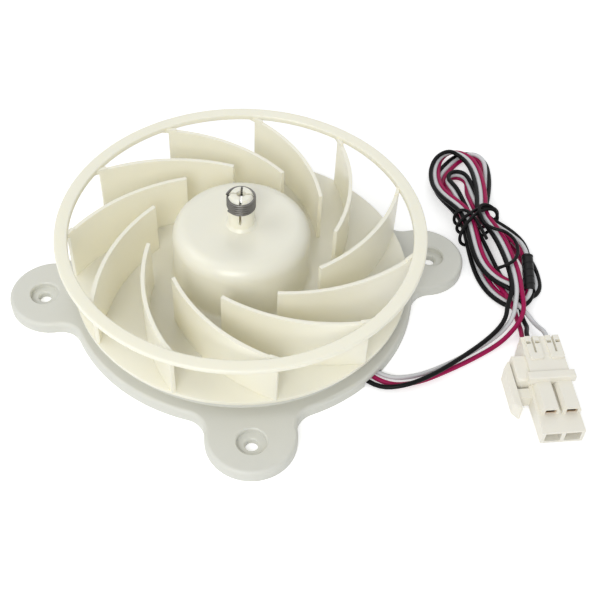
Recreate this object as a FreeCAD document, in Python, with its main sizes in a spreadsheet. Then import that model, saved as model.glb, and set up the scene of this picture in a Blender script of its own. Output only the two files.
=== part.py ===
import FreeCAD, Part
import Sketcher
import math
import os

# Refrigerator fan motor: a round motor base with three ears, a one-piece radial fan wheel pushed on the
# motor shaft and held by a coil spring, and three leads that run to a tied hank and a connector.
# Lengths in millimetres. The origin lies on the fan axis in the plane of the underside, +Z is up,
# +X runs through the holes of the two side ears and +Y points away from the single front ear.

os.makedirs("parts", exist_ok=True)
doc = FreeCAD.newDocument("fan_motor")
sheet = doc.addObject("Spreadsheet::Sheet", "size")

# Driving sizes: name, value, meaning
sizes = [
    # base plate
    ("flange_radius", 63, "round rim of the base"),
    ("flange_height", 4.5, "rim and ear height"),
    ("rim_rounding", 1.4, "rounding of the rim's top edge"),
    ("rim_width", 4.5, "rim round the foot of the raised middle"),
    ("plateau_slope", 1.5, "raised middle's sloping edge, in plan"),
    ("plateau_height", 7, "top of the raised middle"),
    ("plate_wall", 2.2, "thickness of plate and skirt roof"),
    ("skirt_wall", 2, "thickness of the skirt"),
    ("ear_radius", 15.5, "round end of an ear"),
    ("ear_offset", 6, "centre of an ear's round end outside the rim"),
    ("ear_neck", 8, "hollow corner between ear and rim"),
    ("right_ear_angle", 2.05, "azimuth of the right ear"),
    ("left_ear_angle", 177.95, "azimuth of the left ear"),
    ("front_ear_angle", 265.2, "azimuth of the front ear"),
    ("hole_offset", 3, "ear hole outside the centre of the ear's round end"),
    ("hole_radius", 2.25, "ear hole"),
    ("seat_radius", 5, "sunk seat round an ear hole"),
    ("seat_depth", 2, "depth of the sunk seat"),
    ("seat_chamfer", 0.4, "broken edges of seat and hole"),
    ("pot_radius", 21.5, "outside of the motor pot"),
    ("pot_wall", 1.5, "wall of the motor pot"),
    ("pot_headroom", 5.5, "top face of the pot above the core's ledge"),
    ("core_above_board", 6.7, "stator core above the board"),
    ("ledge_width", 1, "width of that ledge"),
    ("housing_wall", 1.5, "wall round the upper bearing"),
    ("rib_count", 12, "ribs under the plate"),
    ("rib_thickness", 1.2, "rib under the plate"),
    ("rib_bottom", 0.4, "lower edge of the ribs"),
    ("rib_start_angle", 24, "azimuth of the first rib"),
    ("lead_angle", -51, "azimuth at which the leads go out"),
    ("notch_width", 9, "gap in the skirt for the leads"),
    ("board_gap", 0.7, "screw bosses outside the board"),
    ("boss_radius", 2.6, "screw boss"),
    ("pilot_radius", 0.95, "pilot hole of a cover screw"),
    ("pilot_top", 5.6, "end of the pilot hole"),
    ("boss_start_angle", 9, "azimuth of the first screw boss"),
    # bottom cover
    ("cover_margin", 3.5, "cover beyond the screws' circle"),
    ("cover_thickness", 1.2, "bottom cover"),
    ("cover_gap", 0.15, "cover inside its locating rim"),
    ("cover_rim_wall", 1.5, "locating rim on the base"),
    ("cup_wall", 1.5, "wall round the lower bearing"),
    ("seat_step", 0.4, "lower bearing's seat above the cup's floor"),
    ("cup_lip", 0.3, "cup above the lower bearing"),
    ("cup_floor", 1.8, "floor of the lower bearing cup"),
    ("post_radius", 1, "board post"),
    ("post_start_angle", 39, "azimuth of the first board post"),
    ("screw_head_radius", 1.9, "countersunk head"),
    ("screw_head_height", 0.9, "countersunk head"),
    ("screw_recess", 0.1, "head below the cover's face"),
    ("screw_gap", 0.1, "clearance round a screw in the cover"),
    # bearings, shaft and rotor
    ("shaft_radius", 1.6, "motor shaft"),
    ("shaft_bottom", 2.1, "lower end of the shaft"),
    ("shaft_inset", 1, "shaft's end below the collet's head"),
    ("running_gap", 0.04, "shaft in its bearings"),
    ("upper_bearing_radius", 4, "upper bush"),
    ("lower_bearing_radius", 3.5, "lower bush"),
    ("bearing_length", 5, "both bushes"),
    ("bearing_lift", 0.3, "upper bush let into the pot's top wall"),
    ("shaft_passage", 2.2, "hole in the pot's top"),
    ("rotor_core_radius", 6.5, "bush inside the magnet"),
    ("magnet_thickness", 2.6, "ring magnet, radially"),
    ("magnet_overhang", 0.7, "magnet below the stator core"),
    ("magnet_play", 0.5, "upper washer below the bearing housing"),
    ("collar_radius", 3, "lower collar of the rotor bush"),
    ("rotor_play", 0.1, "rotor above its lower washer's seat"),
    ("washer_radius", 3.2, "thrust washer"),
    ("washer_thickness", 0.4, "thrust washer"),
    ("washer_gap", 0.05, "washer on the shaft"),
    # stator
    ("tooth_count", 6, "stator teeth"),
    ("core_gap", 0.05, "core in the pot"),
    ("core_length", 12, "stator core"),
    ("yoke_width", 3.35, "yoke, radially"),
    ("tooth_width", 4, "stator tooth"),
    ("shoe_thickness", 1.4, "pole shoe, radially"),
    ("shoe_width", 8.6, "pole shoe"),
    ("air_gap", 0.5, "between magnet and pole shoes"),
    ("former_thickness", 0.8, "coil former"),
    ("former_overlap", 0.35, "former beyond the tooth on each side"),
    ("former_ledge", 1.9, "former's ring on the yoke"),
    ("coil_end_gap", 0.7, "winding clear of shoe and yoke"),
    ("coil_build", 1.6, "winding thickness"),
    ("coil_gap", 0.1, "winding over the former"),
    ("coil_rounding", 1, "outer edges of a winding"),
    ("pin_inset", 1, "coil pins from the inside of the yoke"),
    ("pin_radius", 0.35, "coil pin"),
    ("pin_bottom", 2.5, "lower end of a coil pin"),
    ("pin_start_angle", 30, "azimuth of the first coil pin"),
    # circuit board
    ("board_overhang", 1.7, "board beyond the outside of the pot"),
    ("board_thickness", 1.6, "circuit board"),
    ("board_hole_gap", 0.6, "board round the bearing cup"),
    ("chip_length", 6, "driver chip"),
    ("chip_width", 4.4, "driver chip"),
    ("chip_height", 1.5, "driver chip"),
    ("chip_distance", 12.5, "driver chip from the axis"),
    ("chip_angle", 100, "azimuth of the driver chip"),
    ("sensor_distance", 8, "position sensor from the axis"),
    ("sensor_angle", 0, "azimuth of the position sensor"),
    ("sensor_length", 3, "position sensor"),
    ("sensor_width", 1.5, "position sensor"),
    ("sensor_gap", 1, "position sensor below the magnet"),
    ("capacitor_length", 4.5, "block capacitor"),
    ("capacitor_width", 3.2, "block capacitor"),
    ("capacitor_height", 2.6, "block capacitor"),
    ("capacitor_distance", 13, "capacitor from the axis"),
    ("capacitor_angle", 205, "azimuth of the capacitor"),
    ("resistor_length", 2, "chip resistor"),
    ("resistor_width", 1.25, "chip resistor"),
    ("resistor_height", 0.6, "chip resistor"),
    ("resistor_distance", 13, "resistors from the axis"),
    ("header_length", 5, "lead header, along the leads"),
    ("header_width", 7.6, "lead header, across the leads"),
    ("header_overhang", 1.3, "outer face of the lead header beyond the board"),
    ("header_bottom", 1.35, "lower face of the lead header"),
    # fan wheel
    ("disc_margin", 0.3, "bottom disc beyond the blades"),
    ("disc_bottom", 8.75, "underside of the disc"),
    ("disc_thickness", 1.3, "disc"),
    ("hub_gap", 1.3, "running gap between pot and hub"),
    ("hub_headroom", 2.4, "running gap between the pot's top and the hub"),
    ("hub_rounding", 6, "hub's top edge"),
    ("hub_foot_rounding", 1.5, "hub into disc"),
    ("hub_wall", 1.6, "side wall of the hub"),
    ("hub_roof", 2, "top wall of the hub"),
    ("ring_radius", 65, "outside of the top ring"),
    ("ring_width", 4.7, "top ring, radially"),
    ("ring_bottom", 30.5, "underside of the top ring"),
    ("ring_thickness", 1.9, "top ring"),
    ("ring_rounding", 0.6, "edges of the top ring"),
    ("blade_count", 11, "blades"),
    ("blade_start_angle", 77.4, "azimuth of the first blade's outer end"),
    ("blade_inner", 32.9, "inner edge of a blade"),
    ("blade_wrap", 55.2, "azimuth swept from outer to inner edge"),
    ("blade_sagitta", 4.9, "bow of a blade off its chord"),
    ("blade_thickness", 1.35, "blade"),
    ("blade_overlap", 0.3, "blades run up into the ring"),
    ("foot_height", 0.8, "blade foot below the ring"),
    ("foot_inset", 3, "foot's start before the outer edge"),
    ("foot_reach", 3.4, "foot's run under the ring"),
    # collet and spring clamp
    ("stem_radius", 4.6, "stem of the collet"),
    ("stem_foot", 5.6, "foot of the stem on the hub"),
    ("stem_gap", 1, "lower end of the stem above the pot"),
    ("stem_height", 7.3, "seat of the spring above the hub"),
    ("neck_radius", 4.02, "neck inside the spring"),
    ("spring_slack", 0.15, "neck beyond the length of the spring"),
    ("head_radius", 4.4, "head of the collet"),
    ("head_height", 1.3, "head of the collet"),
    ("collet_gap", 0.03, "collet round the shaft"),
    ("slit_width", 0.8, "slits of the collet"),
    ("slit_start", 3.1, "lower end of the slits above the hub"),
    ("slit_angle", 78, "azimuth of the first slit"),
    ("spring_wire", 0.95, "wire thickness of the spring"),
    ("spring_bore_gap", 0.08, "spring round the neck"),
    ("spring_wall", 1, "spring, radially"),
    ("spring_groove", 0.3, "groove between two turns"),
    ("spring_turns", 5, "close turns of the spring"),
    ("spring_gap", 0.05, "spring above its seat"),
    # leads and hank
    ("wire_diameter", 1.7, "each lead"),
    ("wire_lift", 0.15, "lead lying above the floor"),
    ("header_wire_level", 2.3, "lead at the header, centre"),
    ("wire_spacing", 2.2, "leads side by side at the header"),
    ("hank_bottom", 0.1, "underside of the hank"),
    ("hank_top", 7.3, "top of the hank"),
    ("hank_end", -26, "flat end of the hank where the leads join, y"),
    ("lead_end_gap", 0.4, "slanting lead's end in front of the hank"),
    ("tail_end_gap", 0.05, "tail's end in front of the hank"),
    ("hank_rounding", 1, "upper edges of the hank"),
    ("lobe_corner", 3.5, "rounded corners of the hank in plan"),
    ("waist_left", 88.5, "waist of the hank, x"),
    ("waist_right", 100.1, "waist of the hank, x"),
    ("waist_bottom", 1.7, "waist of the hank, z"),
    ("waist_top", 6.5, "waist of the hank, z"),
    ("lower_lobe_end", 16.8, "lower loops end, y"),
    ("upper_lobe_start", 24.8, "upper loops start, y"),
    ("tie_front", 17.1, "front of the tie, y"),
    ("tie_rear", 24.5, "rear of the tie, y"),
    ("tie_gap", 0.2, "tie round the waist"),
    ("tie_wall", 1.2, "tie at the sides and below"),
    ("tie_crown", 2.2, "tie on top, several turns"),
    ("tie_tail_diameter", 1.3, "free end of the tie"),
    ("tie_tail_level", 8.05, "free end of the tie, centre"),
    ("sleeve_bore", 1.9, "tape sleeve, inside"),
    ("sleeve_wall", 0.5, "tape sleeve"),
    ("sleeve_level", 3.7, "tape sleeve, centre"),
    ("sleeve_strand", 1.7, "strand inside the sleeve, radius"),
    ("sleeve_clear", 0.5, "hank cut clear of the sleeve"),
    # connector, measured from the middle of its rear end, forwards and across
    ("plug_centre_across", 98.3, "rear end of the connector, x"),
    ("plug_centre_along", -45.4, "rear end of the connector, y"),
    ("plug_turn", -3.4, "connector turned about the vertical"),
    ("rear_width", 13.4, "rear block"),
    ("rear_top", 10, "rear block"),
    ("plug_bottom", 0.2, "underside of the rear block"),
    ("tongue_width", 4.9, "locking tongue"),
    ("tongue_length", 10.2, "locking tongue"),
    ("tongue_height", 0.7, "tongue above the rear block"),
    ("tongue_pitch", 7.2, "between the tongues"),
    ("tongue_shift", 0.6, "tongues and tubes off the middle"),
    ("tongue_corner", 1.2, "rounded end of a tongue"),
    ("tongue_slit", 0.8, "slit in a tongue"),
    ("slit_length", 7.6, "slit in a tongue"),
    ("window_length", 1.2, "catch window in a tongue"),
    ("window_width", 1.6, "catch window in a tongue"),
    ("window_start", 2.4, "catch window from the rear"),
    ("collar_start", 15.6, "front collar, from the rear"),
    ("collar_end", 18.9, "front collar, from the rear"),
    ("collar_width", 16.2, "front collar"),
    ("collar_top", 11, "front collar"),
    ("collar_floor", 8.2, "front collar's lower edge"),
    ("tube_end", 30.2, "upper tubes, from the rear"),
    ("tube_foot", 6.4, "upper tube at its foot"),
    ("tube_crown", 4.6, "upper tube at its top"),
    ("tube_top", 9, "upper tube"),
    ("lower_width", 14.4, "lower block"),
    ("lower_top", 5.9, "lower block"),
    ("lower_end", 37.6, "lower block, from the rear"),
    ("socket_width", 5.3, "lower socket"),
    ("socket_height", 4, "lower socket"),
    ("socket_depth", 12, "lower socket"),
    ("socket_pitch", 6.7, "between the lower sockets"),
    ("socket_level", 3.1, "centre of the lower sockets"),
    ("cheek_left", 11.2, "cheek plate, outer face"),
    ("cheek_start", 6.8, "cheek plate, from the rear"),
    ("cheek_end", 17.6, "cheek plate, from the rear"),
    ("cheek_top", 8.6, "cheek plate"),
    ("cheek_bottom", 2.6, "cheek plate"),
    ("cheek_corner", 2, "cheek plate's rounded corner"),
    ("latch_left", 14, "latch arm, outer face"),
    ("latch_right", 11.6, "latch arm, inner face"),
    ("latch_start", 7.6, "latch arm, from the rear"),
    ("latch_end", 27.4, "latch arm, from the rear"),
    ("latch_top", 6.4, "latch arm"),
    ("latch_root_start", 18.6, "latch root, from the rear"),
    ("latch_root_end", 22.6, "latch root, from the rear"),
    ("latch_nose", 2.6, "bevel of the latch arm's ends"),
    ("plug_rounding", 0.5, "edges of the connector's blocks"),
    ("terminal_width", 3.6, "terminal"),
    ("terminal_height", 2, "terminal"),
    ("terminal_start", 4, "terminals, from the rear"),
    ("upper_terminal_end", 29.6, "upper terminals, from the rear"),
    ("lower_terminal_end", 27, "lower terminal, from the rear"),
    ("terminal_wall", 0.4, "terminal"),
    ("terminal_mouth", 9, "depth of a terminal's mouth"),
    ("cavity_gap", 0.1, "terminal in its cavity"),
    ("upper_level", 7, "upper terminals and leads, centre"),
    ("lead_bore_gap", 0.06, "lead in the connector's bore"),
]


def fill_sheet():
    for row, (name, value, meaning) in enumerate(sizes, start=1):
        sheet.set("A%d" % row, meaning)
        sheet.set("B%d" % row, str(value))
        sheet.setAlias("B%d" % row, name)
    # worked-out sizes: what follows from a neighbour, then the blade's arc
    derived = [
        ("ear_reach", "flange_radius + ear_offset"),
        ("shoulder_radius", "flange_radius - rim_width"),
        ("plateau_radius", "shoulder_radius - plateau_slope"),
        ("hole_circle", "ear_reach + hole_offset"),
        ("board_top", "plateau_height - plate_wall"),
        ("core_stop", "board_top + core_above_board + core_length"),
        ("pot_top", "core_stop + pot_headroom"),
        ("board_radius", "pot_radius + board_overhang"),
        ("boss_circle", "board_radius + board_gap + boss_radius"),
        ("cover_radius", "boss_circle + cover_margin"),
        ("header_end", "board_radius + header_overhang"),
        ("magnet_radius", "rotor_core_radius + magnet_thickness"),
        ("housing_radius", "upper_bearing_radius + housing_wall"),
        ("housing_bottom", "pot_top - pot_wall + bearing_lift - bearing_length"),
        ("cup_radius", "lower_bearing_radius + cup_wall"),
        ("lower_seat", "cup_floor + seat_step"),
        ("cup_top", "lower_seat + bearing_length + cup_lip"),
        ("collar_bottom", "cup_top + washer_thickness + rotor_play"),
        ("board_hole_radius", "cup_radius + board_hole_gap"),
        ("rotor_bottom", "core_stop - core_length - magnet_overhang"),
        ("rotor_top", "housing_bottom - washer_thickness - magnet_play"),
        ("sensor_height", "rotor_bottom - board_top - sensor_gap"),
        ("stator_bore", "magnet_radius + air_gap"),
        ("shoe_radius", "stator_bore + shoe_thickness"),
        ("yoke_radius", "pot_radius - pot_wall - core_gap - yoke_width"),
        ("former_rim", "yoke_radius + former_ledge"),
        ("coil_inner", "shoe_radius + coil_end_gap"),
        ("coil_outer", "yoke_radius - coil_end_gap"),
        ("pin_circle", "yoke_radius + pin_inset"),
        ("hub_radius", "pot_radius + hub_gap + hub_wall"),
        ("hub_top", "pot_top + hub_headroom + hub_roof"),
        ("stem_bottom", "pot_top + stem_gap"),
        ("stem_seat", "hub_top + stem_height"),
        ("slit_bottom", "hub_top + slit_start"),
        ("head_bottom", "stem_seat + spring_turns * spring_wire + spring_slack"),
        ("head_top", "head_bottom + head_height"),
        ("shaft_top", "head_bottom - shaft_inset"),
        ("spring_bottom", "stem_seat + spring_gap"),
        ("spring_inner", "neck_radius + spring_bore_gap"),
        ("spring_outer", "spring_inner + spring_wall"),
        ("ring_bore", "ring_radius - ring_width"),
        ("blade_outer", "ring_bore"),
        ("blade_top", "ring_bottom + blade_overlap"),
        ("disc_radius", "blade_outer + disc_margin"),
        ("wire_level", "wire_diameter / 2 + wire_lift"),
        ("blade_out_x", "blade_outer * cos(blade_start_angle * 1 deg)"),
        ("blade_out_y", "blade_outer * sin(blade_start_angle * 1 deg)"),
        ("blade_in_x", "blade_inner * cos((blade_start_angle - blade_wrap) * 1 deg)"),
        ("blade_in_y", "blade_inner * sin((blade_start_angle - blade_wrap) * 1 deg)"),
        ("blade_chord", "sqrt((blade_out_x - blade_in_x)^2 + (blade_out_y - blade_in_y)^2)"),
        ("blade_arc", "(blade_chord^2 / 4 + blade_sagitta^2) / (2 * blade_sagitta)"),
        ("bow_x", "(blade_out_y - blade_in_y) / blade_chord"),
        ("bow_y", "(blade_in_x - blade_out_x) / blade_chord"),
        ("arc_x", "(blade_out_x + blade_in_x) / 2 - bow_x * (blade_arc - blade_sagitta)"),
        ("arc_y", "(blade_out_y + blade_in_y) / 2 - bow_y * (blade_arc - blade_sagitta)"),
        ("out_normal_x", "(blade_out_x - arc_x) / blade_arc"),
        ("out_normal_y", "(blade_out_y - arc_y) / blade_arc"),
        ("in_normal_x", "(blade_in_x - arc_x) / blade_arc"),
        ("in_normal_y", "(blade_in_y - arc_y) / blade_arc"),
    ]
    first = len(sizes) + 1
    for row, (name, formula) in enumerate(derived, start=first):
        sheet.set("A%d" % row, "worked out")
        sheet.setAlias("B%d" % row, name)
        sheet.set("B%d" % row, "=" + formula)
    doc.recompute()


fill_sheet()


def number(expression):
    result = sheet.evalExpression(expression)
    return float(getattr(result, "Value", result))


# Shared building steps

def new_body(name):
    body = doc.addObject("PartDesign::Body", name)
    body.Label = name
    return body


def origin_plane(body, role):
    for feature in body.Origin.OriginFeatures:
        if feature.Role == role:
            return feature
    raise ValueError("no plane " + role)


def new_sketch(body, name, plane, lift):
    sketch = body.newObject("Sketcher::SketchObject", name)
    sketch.AttachmentSupport = (origin_plane(body, plane), [""])
    sketch.MapMode = "FlatFace"
    if lift:
        sketch.setExpression("AttachmentOffset.Base.z", lift)
    return sketch


def bind(sketch, kind, where, label, expression):
    value = number(expression)
    index = sketch.addConstraint(Sketcher.Constraint(kind, *where, value))
    sketch.renameConstraint(index, label)
    sketch.setExpression("Constraints." + label, expression)


def arc_between(first, last, radius, side):
    # side +1 bows the arc to the left of the way from first to last
    chord = last - first
    middle = (first + last) * 0.5
    left = FreeCAD.Vector(-chord.y, chord.x, 0)
    left.normalize()
    depth = math.sqrt(radius ** 2 - (chord.Length / 2) ** 2)
    centre = middle - left * (depth * side)
    start, end = (last, first) if side > 0 else (first, last)
    angles = [math.atan2(p.y - centre.y, p.x - centre.x) for p in (start, end)]
    if angles[1] < angles[0]:
        angles[1] += 2 * math.pi
    circle = Part.Circle(centre, FreeCAD.Vector(0, 0, 1), radius)
    return Part.ArcOfCircle(circle, angles[0], angles[1])


def outline(body, name, plane, corners, arcs=None, lift=None):
    # closed outline through corners given as pairs of expressions; arcs: side number to (radius, side)
    sketch = new_sketch(body, name, plane, lift)
    arcs = arcs or {}
    points = [FreeCAD.Vector(number(a), number(b), 0) for a, b in corners]
    count = len(points)
    heads = []
    tails = []
    for i, point in enumerate(points):
        following = points[(i + 1) % count]
        if i in arcs:
            radius, side = arcs[i]
            sketch.addGeometry(arc_between(point, following, number(radius), side), False)
            heads.append(2 if side > 0 else 1)
            tails.append(1 if side > 0 else 2)
        else:
            sketch.addGeometry(Part.LineSegment(point, following), False)
            heads.append(1)
            tails.append(2)
    for i in range(count):
        j = (i + 1) % count
        sketch.addConstraint(Sketcher.Constraint("Coincident", i, tails[i], j, heads[j]))
    for i, (a, b) in enumerate(corners):
        bind(sketch, "DistanceX", (-1, 1, i, heads[i]), "across%d" % i, a)
        bind(sketch, "DistanceY", (-1, 1, i, heads[i]), "along%d" % i, b)
    for i, (radius, side) in arcs.items():
        bind(sketch, "Radius", (i,), "radius%d" % i, radius)
    return sketch


def circles(body, name, plane, centres, radius, lift=None):
    sketch = new_sketch(body, name, plane, lift)
    for i, (a, b) in enumerate(centres):
        centre = FreeCAD.Vector(number(a), number(b), 0)
        circle = Part.Circle(centre, FreeCAD.Vector(0, 0, 1), number(radius))
        sketch.addGeometry(circle, False)
        bind(sketch, "DistanceX", (-1, 1, i, 3), "across%d" % i, a)
        bind(sketch, "DistanceY", (-1, 1, i, 3), "along%d" % i, b)
        bind(sketch, "Radius", (i,), "radius%d" % i, radius)
    return sketch


def rectangle(body, name, plane, left, right, low, high, lift=None):
    corners = [(left, low), (right, low), (right, high), (left, high)]
    return outline(body, name, plane, corners, lift=lift)


def feature(body, kind, name, sketch):
    made = body.newObject("PartDesign::" + kind, name)
    made.Profile = sketch
    return made


def pad(body, name, sketch, length):
    made = feature(body, "Pad", name, sketch)
    made.setExpression("Length", length)
    return finish(body, made)


def pocket(body, name, sketch, length, upwards=False):
    made = feature(body, "Pocket", name, sketch)
    made.setExpression("Length", length)
    made.Reversed = upwards
    return finish(body, made, less=True)


def turn(body, kind, name, sketch):
    made = feature(body, kind, name, sketch)
    made.ReferenceAxis = (sketch, ["V_Axis"])
    made.Angle = 360
    return finish(body, made, less=(kind == "Groove"))


def finish(body, made, less=False):
    before = volume_before(body, made)
    body.Tip = made
    doc.recompute()
    if less and not made.Shape.Volume < before - 1e-6:
        raise ValueError(made.Name + " takes nothing away")
    return made


def volume_before(body, made):
    earlier = [f for f in body.Group if f is not made and hasattr(f, "Refine")]
    if not earlier:
        return 0.0
    return earlier[-1].Shape.Volume


def around(body, name, originals, axis_sketch, count):
    made = body.newObject("PartDesign::PolarPattern", name)
    made.Originals = originals
    made.Axis = (axis_sketch, ["N_Axis"])
    made.Angle = 360
    made.setExpression("Occurrences", count)
    return finish(body, made)


def pick_edges(made, test):
    return ["Edge%d" % (i + 1) for i, edge in enumerate(made.Shape.Edges) if test(edge)]


def dress(body, kind, name, base, edges, size):
    if not edges:
        raise ValueError(name + " finds no edge")
    made = body.newObject("PartDesign::" + kind, name)
    made.Base = (base, edges)
    made.setExpression("Radius" if kind == "Fillet" else "Size", size)
    return finish(body, made)


def level_edge(edge, height):
    box = edge.BoundBox
    return abs(box.ZMin - height) < 1e-3 and abs(box.ZMax - height) < 1e-3


def upright_edge(edge):
    box = edge.BoundBox
    return box.XLength < 1e-3 and box.YLength < 1e-3 and box.ZLength > 0.1


def polar(radius, angle):
    return "%s * cos((%s) * 1 deg)" % (radius, angle), "%s * sin((%s) * 1 deg)" % (radius, angle)


def box(name, length, width, height, corner, spin=None, about=None):
    # a block placed by its corner, then turned about the point given in about
    made = doc.addObject("Part::Box", name)
    made.setExpression("Length", length)
    made.setExpression("Width", width)
    made.setExpression("Height", height)
    if spin is None:
        for part, expression in zip("xyz", corner):
            made.setExpression("Placement.Base." + part, expression)
        return made
    made.Placement.Rotation = FreeCAD.Rotation(FreeCAD.Vector(0, 0, 1), 1)
    made.setExpression("Placement.Rotation.Angle", "(%s) * 1 deg" % spin)
    x, y, z = corner
    turned = ("(%s) * cos((%s) * 1 deg) - (%s) * sin((%s) * 1 deg)" % (x, spin, y, spin),
              "(%s) * sin((%s) * 1 deg) + (%s) * cos((%s) * 1 deg)" % (x, spin, y, spin))
    shift_x, shift_y = about or ("0", "0")
    made.setExpression("Placement.Base.x", "%s + %s" % (turned[0], shift_x))
    made.setExpression("Placement.Base.y", "%s + %s" % (turned[1], shift_y))
    made.setExpression("Placement.Base.z", z)
    return made


def cylinder(name, radius, height, x, y, z):
    made = doc.addObject("Part::Cylinder", name)
    made.setExpression("Radius", radius)
    made.setExpression("Height", height)
    for part, expression in zip("xyz", (x, y, z)):
        made.setExpression("Placement.Base." + part, expression)
    return made


def cone(name, low_radius, high_radius, height, x, y, z):
    made = doc.addObject("Part::Cone", name)
    made.setExpression("Radius1", low_radius)
    made.setExpression("Radius2", high_radius)
    made.setExpression("Height", height)
    for part, expression in zip("xyz", (x, y, z)):
        made.setExpression("Placement.Base." + part, expression)
    return made


def join(name, members):
    made = doc.addObject("Part::MultiFuse", name)
    made.Shapes = members
    made.Refine = True
    made.Label = name
    return made


def cut(name, base, tool):
    made = doc.addObject("Part::Cut", name)
    made.Base = base
    made.Tool = tool
    made.Refine = True
    made.Label = name
    return made


def group(name, members):
    made = doc.addObject("Part::Compound", name)
    made.Links = members
    made.Label = name
    return made


# Base plate: rim, ears, raised middle, motor pot, ribs and screw bosses in one moulding

def base_plate():
    body = new_body("base_plate")
    rim = circles(body, "rim_outline", "XY_Plane", [("0", "0")], "size.flange_radius")
    made = pad(body, "rim", rim, "size.flange_height")
    for name in ("right", "left", "front"):
        centre = polar("size.ear_reach", "size.%s_ear_angle" % name)
        ear = circles(body, name + "_ear_outline", "XY_Plane", [centre], "size.ear_radius")
        made = pad(body, name + "_ear", ear, "size.flange_height")
    made = dress(body, "Fillet", "ear_necks", made, pick_edges(made, upright_edge), "size.ear_neck")
    top = number("size.flange_height")
    edges = pick_edges(made, lambda edge: level_edge(edge, top))
    made = dress(body, "Fillet", "rim_edge", made, edges, "size.rim_rounding")
    middle = outline(body, "middle_profile", "XZ_Plane", [
        ("0", "size.flange_height - size.plate_wall"),
        ("size.shoulder_radius", "size.flange_height - size.plate_wall"),
        ("size.shoulder_radius", "size.flange_height"),
        ("size.plateau_radius", "size.plateau_height"),
        ("size.pot_radius", "size.plateau_height"),
        ("size.pot_radius", "size.pot_top - 1"),
        ("size.pot_radius - 1", "size.pot_top"),
        ("0", "size.pot_top")], arcs={5: ("1", -1)})
    turn(body, "Revolution", "middle", middle)
    hollow = outline(body, "hollow_profile", "XZ_Plane", [
        ("0", "-1"),
        ("size.flange_radius - size.skirt_wall", "-1"),
        ("size.flange_radius - size.skirt_wall", "size.flange_height - size.plate_wall"),
        ("size.plateau_radius - 1", "size.flange_height - size.plate_wall"),
        ("size.plateau_radius - 1", "size.plateau_height - size.plate_wall"),
        ("size.pot_radius - size.pot_wall", "size.plateau_height - size.plate_wall"),
        ("size.pot_radius - size.pot_wall", "size.core_stop"),
        ("size.pot_radius - size.pot_wall - size.ledge_width", "size.core_stop"),
        ("size.pot_radius - size.pot_wall - size.ledge_width", "size.pot_top - size.pot_wall"),
        ("size.housing_radius", "size.pot_top - size.pot_wall"),
        ("size.housing_radius", "size.housing_bottom"),
        ("0", "size.housing_bottom")])
    turn(body, "Groove", "hollow", hollow)
    seat = outline(body, "bearing_seat_profile", "XZ_Plane", [
        ("0", "size.pot_top - 2 * size.bearing_length"),
        ("size.upper_bearing_radius", "size.pot_top - 2 * size.bearing_length"),
        ("size.upper_bearing_radius", "size.housing_bottom + size.bearing_length"),
        ("size.shaft_passage", "size.housing_bottom + size.bearing_length"),
        ("size.shaft_passage", "size.pot_top + 1"),
        ("0", "size.pot_top + 1")])
    turn(body, "Groove", "bearing_seat", seat)
    base_underside(body)
    ear_holes(body)
    return body


def base_underside(body):
    roof = "size.plateau_height - size.plate_wall"
    inner = "size.cover_radius + size.cover_gap"
    step = "size.plateau_radius - 1"
    rib = outline(body, "rib_outline", "XY_Plane", rib_corners(inner + " + 0.5", step + " + 0.5"),
                  lift="size.rib_bottom")
    first = pad(body, "rib", rib, roof + " - size.rib_bottom + 0.5")
    low = outline(body, "low_rib_outline", "XY_Plane",
                  rib_corners(step, "size.flange_radius - size.skirt_wall + 0.5"), lift="size.rib_bottom")
    second = pad(body, "low_rib", low, "size.flange_height - size.plate_wall - size.rib_bottom + 0.5")
    around(body, "ribs", [first, second], rib, "size.rib_count")
    wall = outline(body, "cover_rim_profile", "XZ_Plane", [
        (inner, "0"),
        (inner + " + size.cover_rim_wall", "0"),
        (inner + " + size.cover_rim_wall", roof + " + 0.5"),
        (inner, roof + " + 0.5")])
    turn(body, "Revolution", "cover_rim", wall)
    centres = [polar("size.boss_circle", "size.boss_start_angle + %d" % (120 * i)) for i in range(3)]
    bosses = circles(body, "boss_outline", "XY_Plane", centres, "size.boss_radius", "size.cover_thickness")
    pad(body, "bosses", bosses, roof + " - size.cover_thickness + 0.5")
    pilots = circles(body, "pilot_outline", "XY_Plane", centres, "size.pilot_radius", "size.pilot_top")
    pocket(body, "pilots", pilots, "size.pilot_top")
    channel = outline(body, "channel_outline", "XY_Plane", strip_corners(
        "size.cover_radius - 1", "size.flange_radius + 2", "size.notch_width", "size.lead_angle"),
        lift="size.flange_height - size.plate_wall")
    pocket(body, "channel", channel, "size.flange_height")
    upper = outline(body, "upper_channel_outline", "XY_Plane", strip_corners(
        "size.cover_radius - 1", "size.cover_radius + size.cover_rim_wall + 1", "size.notch_width",
        "size.lead_angle"), lift=roof)
    pocket(body, "upper_channel", upper, "size.plateau_height")


def strip_corners(inner, outer, width, angle):
    # a radial strip in plan, its corners as expressions
    corners = []
    for distance, side in ((inner, -1), (outer, -1), (outer, 1), (inner, 1)):
        values = (distance, angle, side, width, angle)
        x = "(%s) * cos((%s) * 1 deg) - %d * (%s) / 2 * sin((%s) * 1 deg)" % values
        y = "(%s) * sin((%s) * 1 deg) + %d * (%s) / 2 * cos((%s) * 1 deg)" % values
        corners.append((x, y))
    return corners


def rib_corners(inner, outer):
    return strip_corners(inner, outer, "size.rib_thickness", "size.rib_start_angle")


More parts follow.
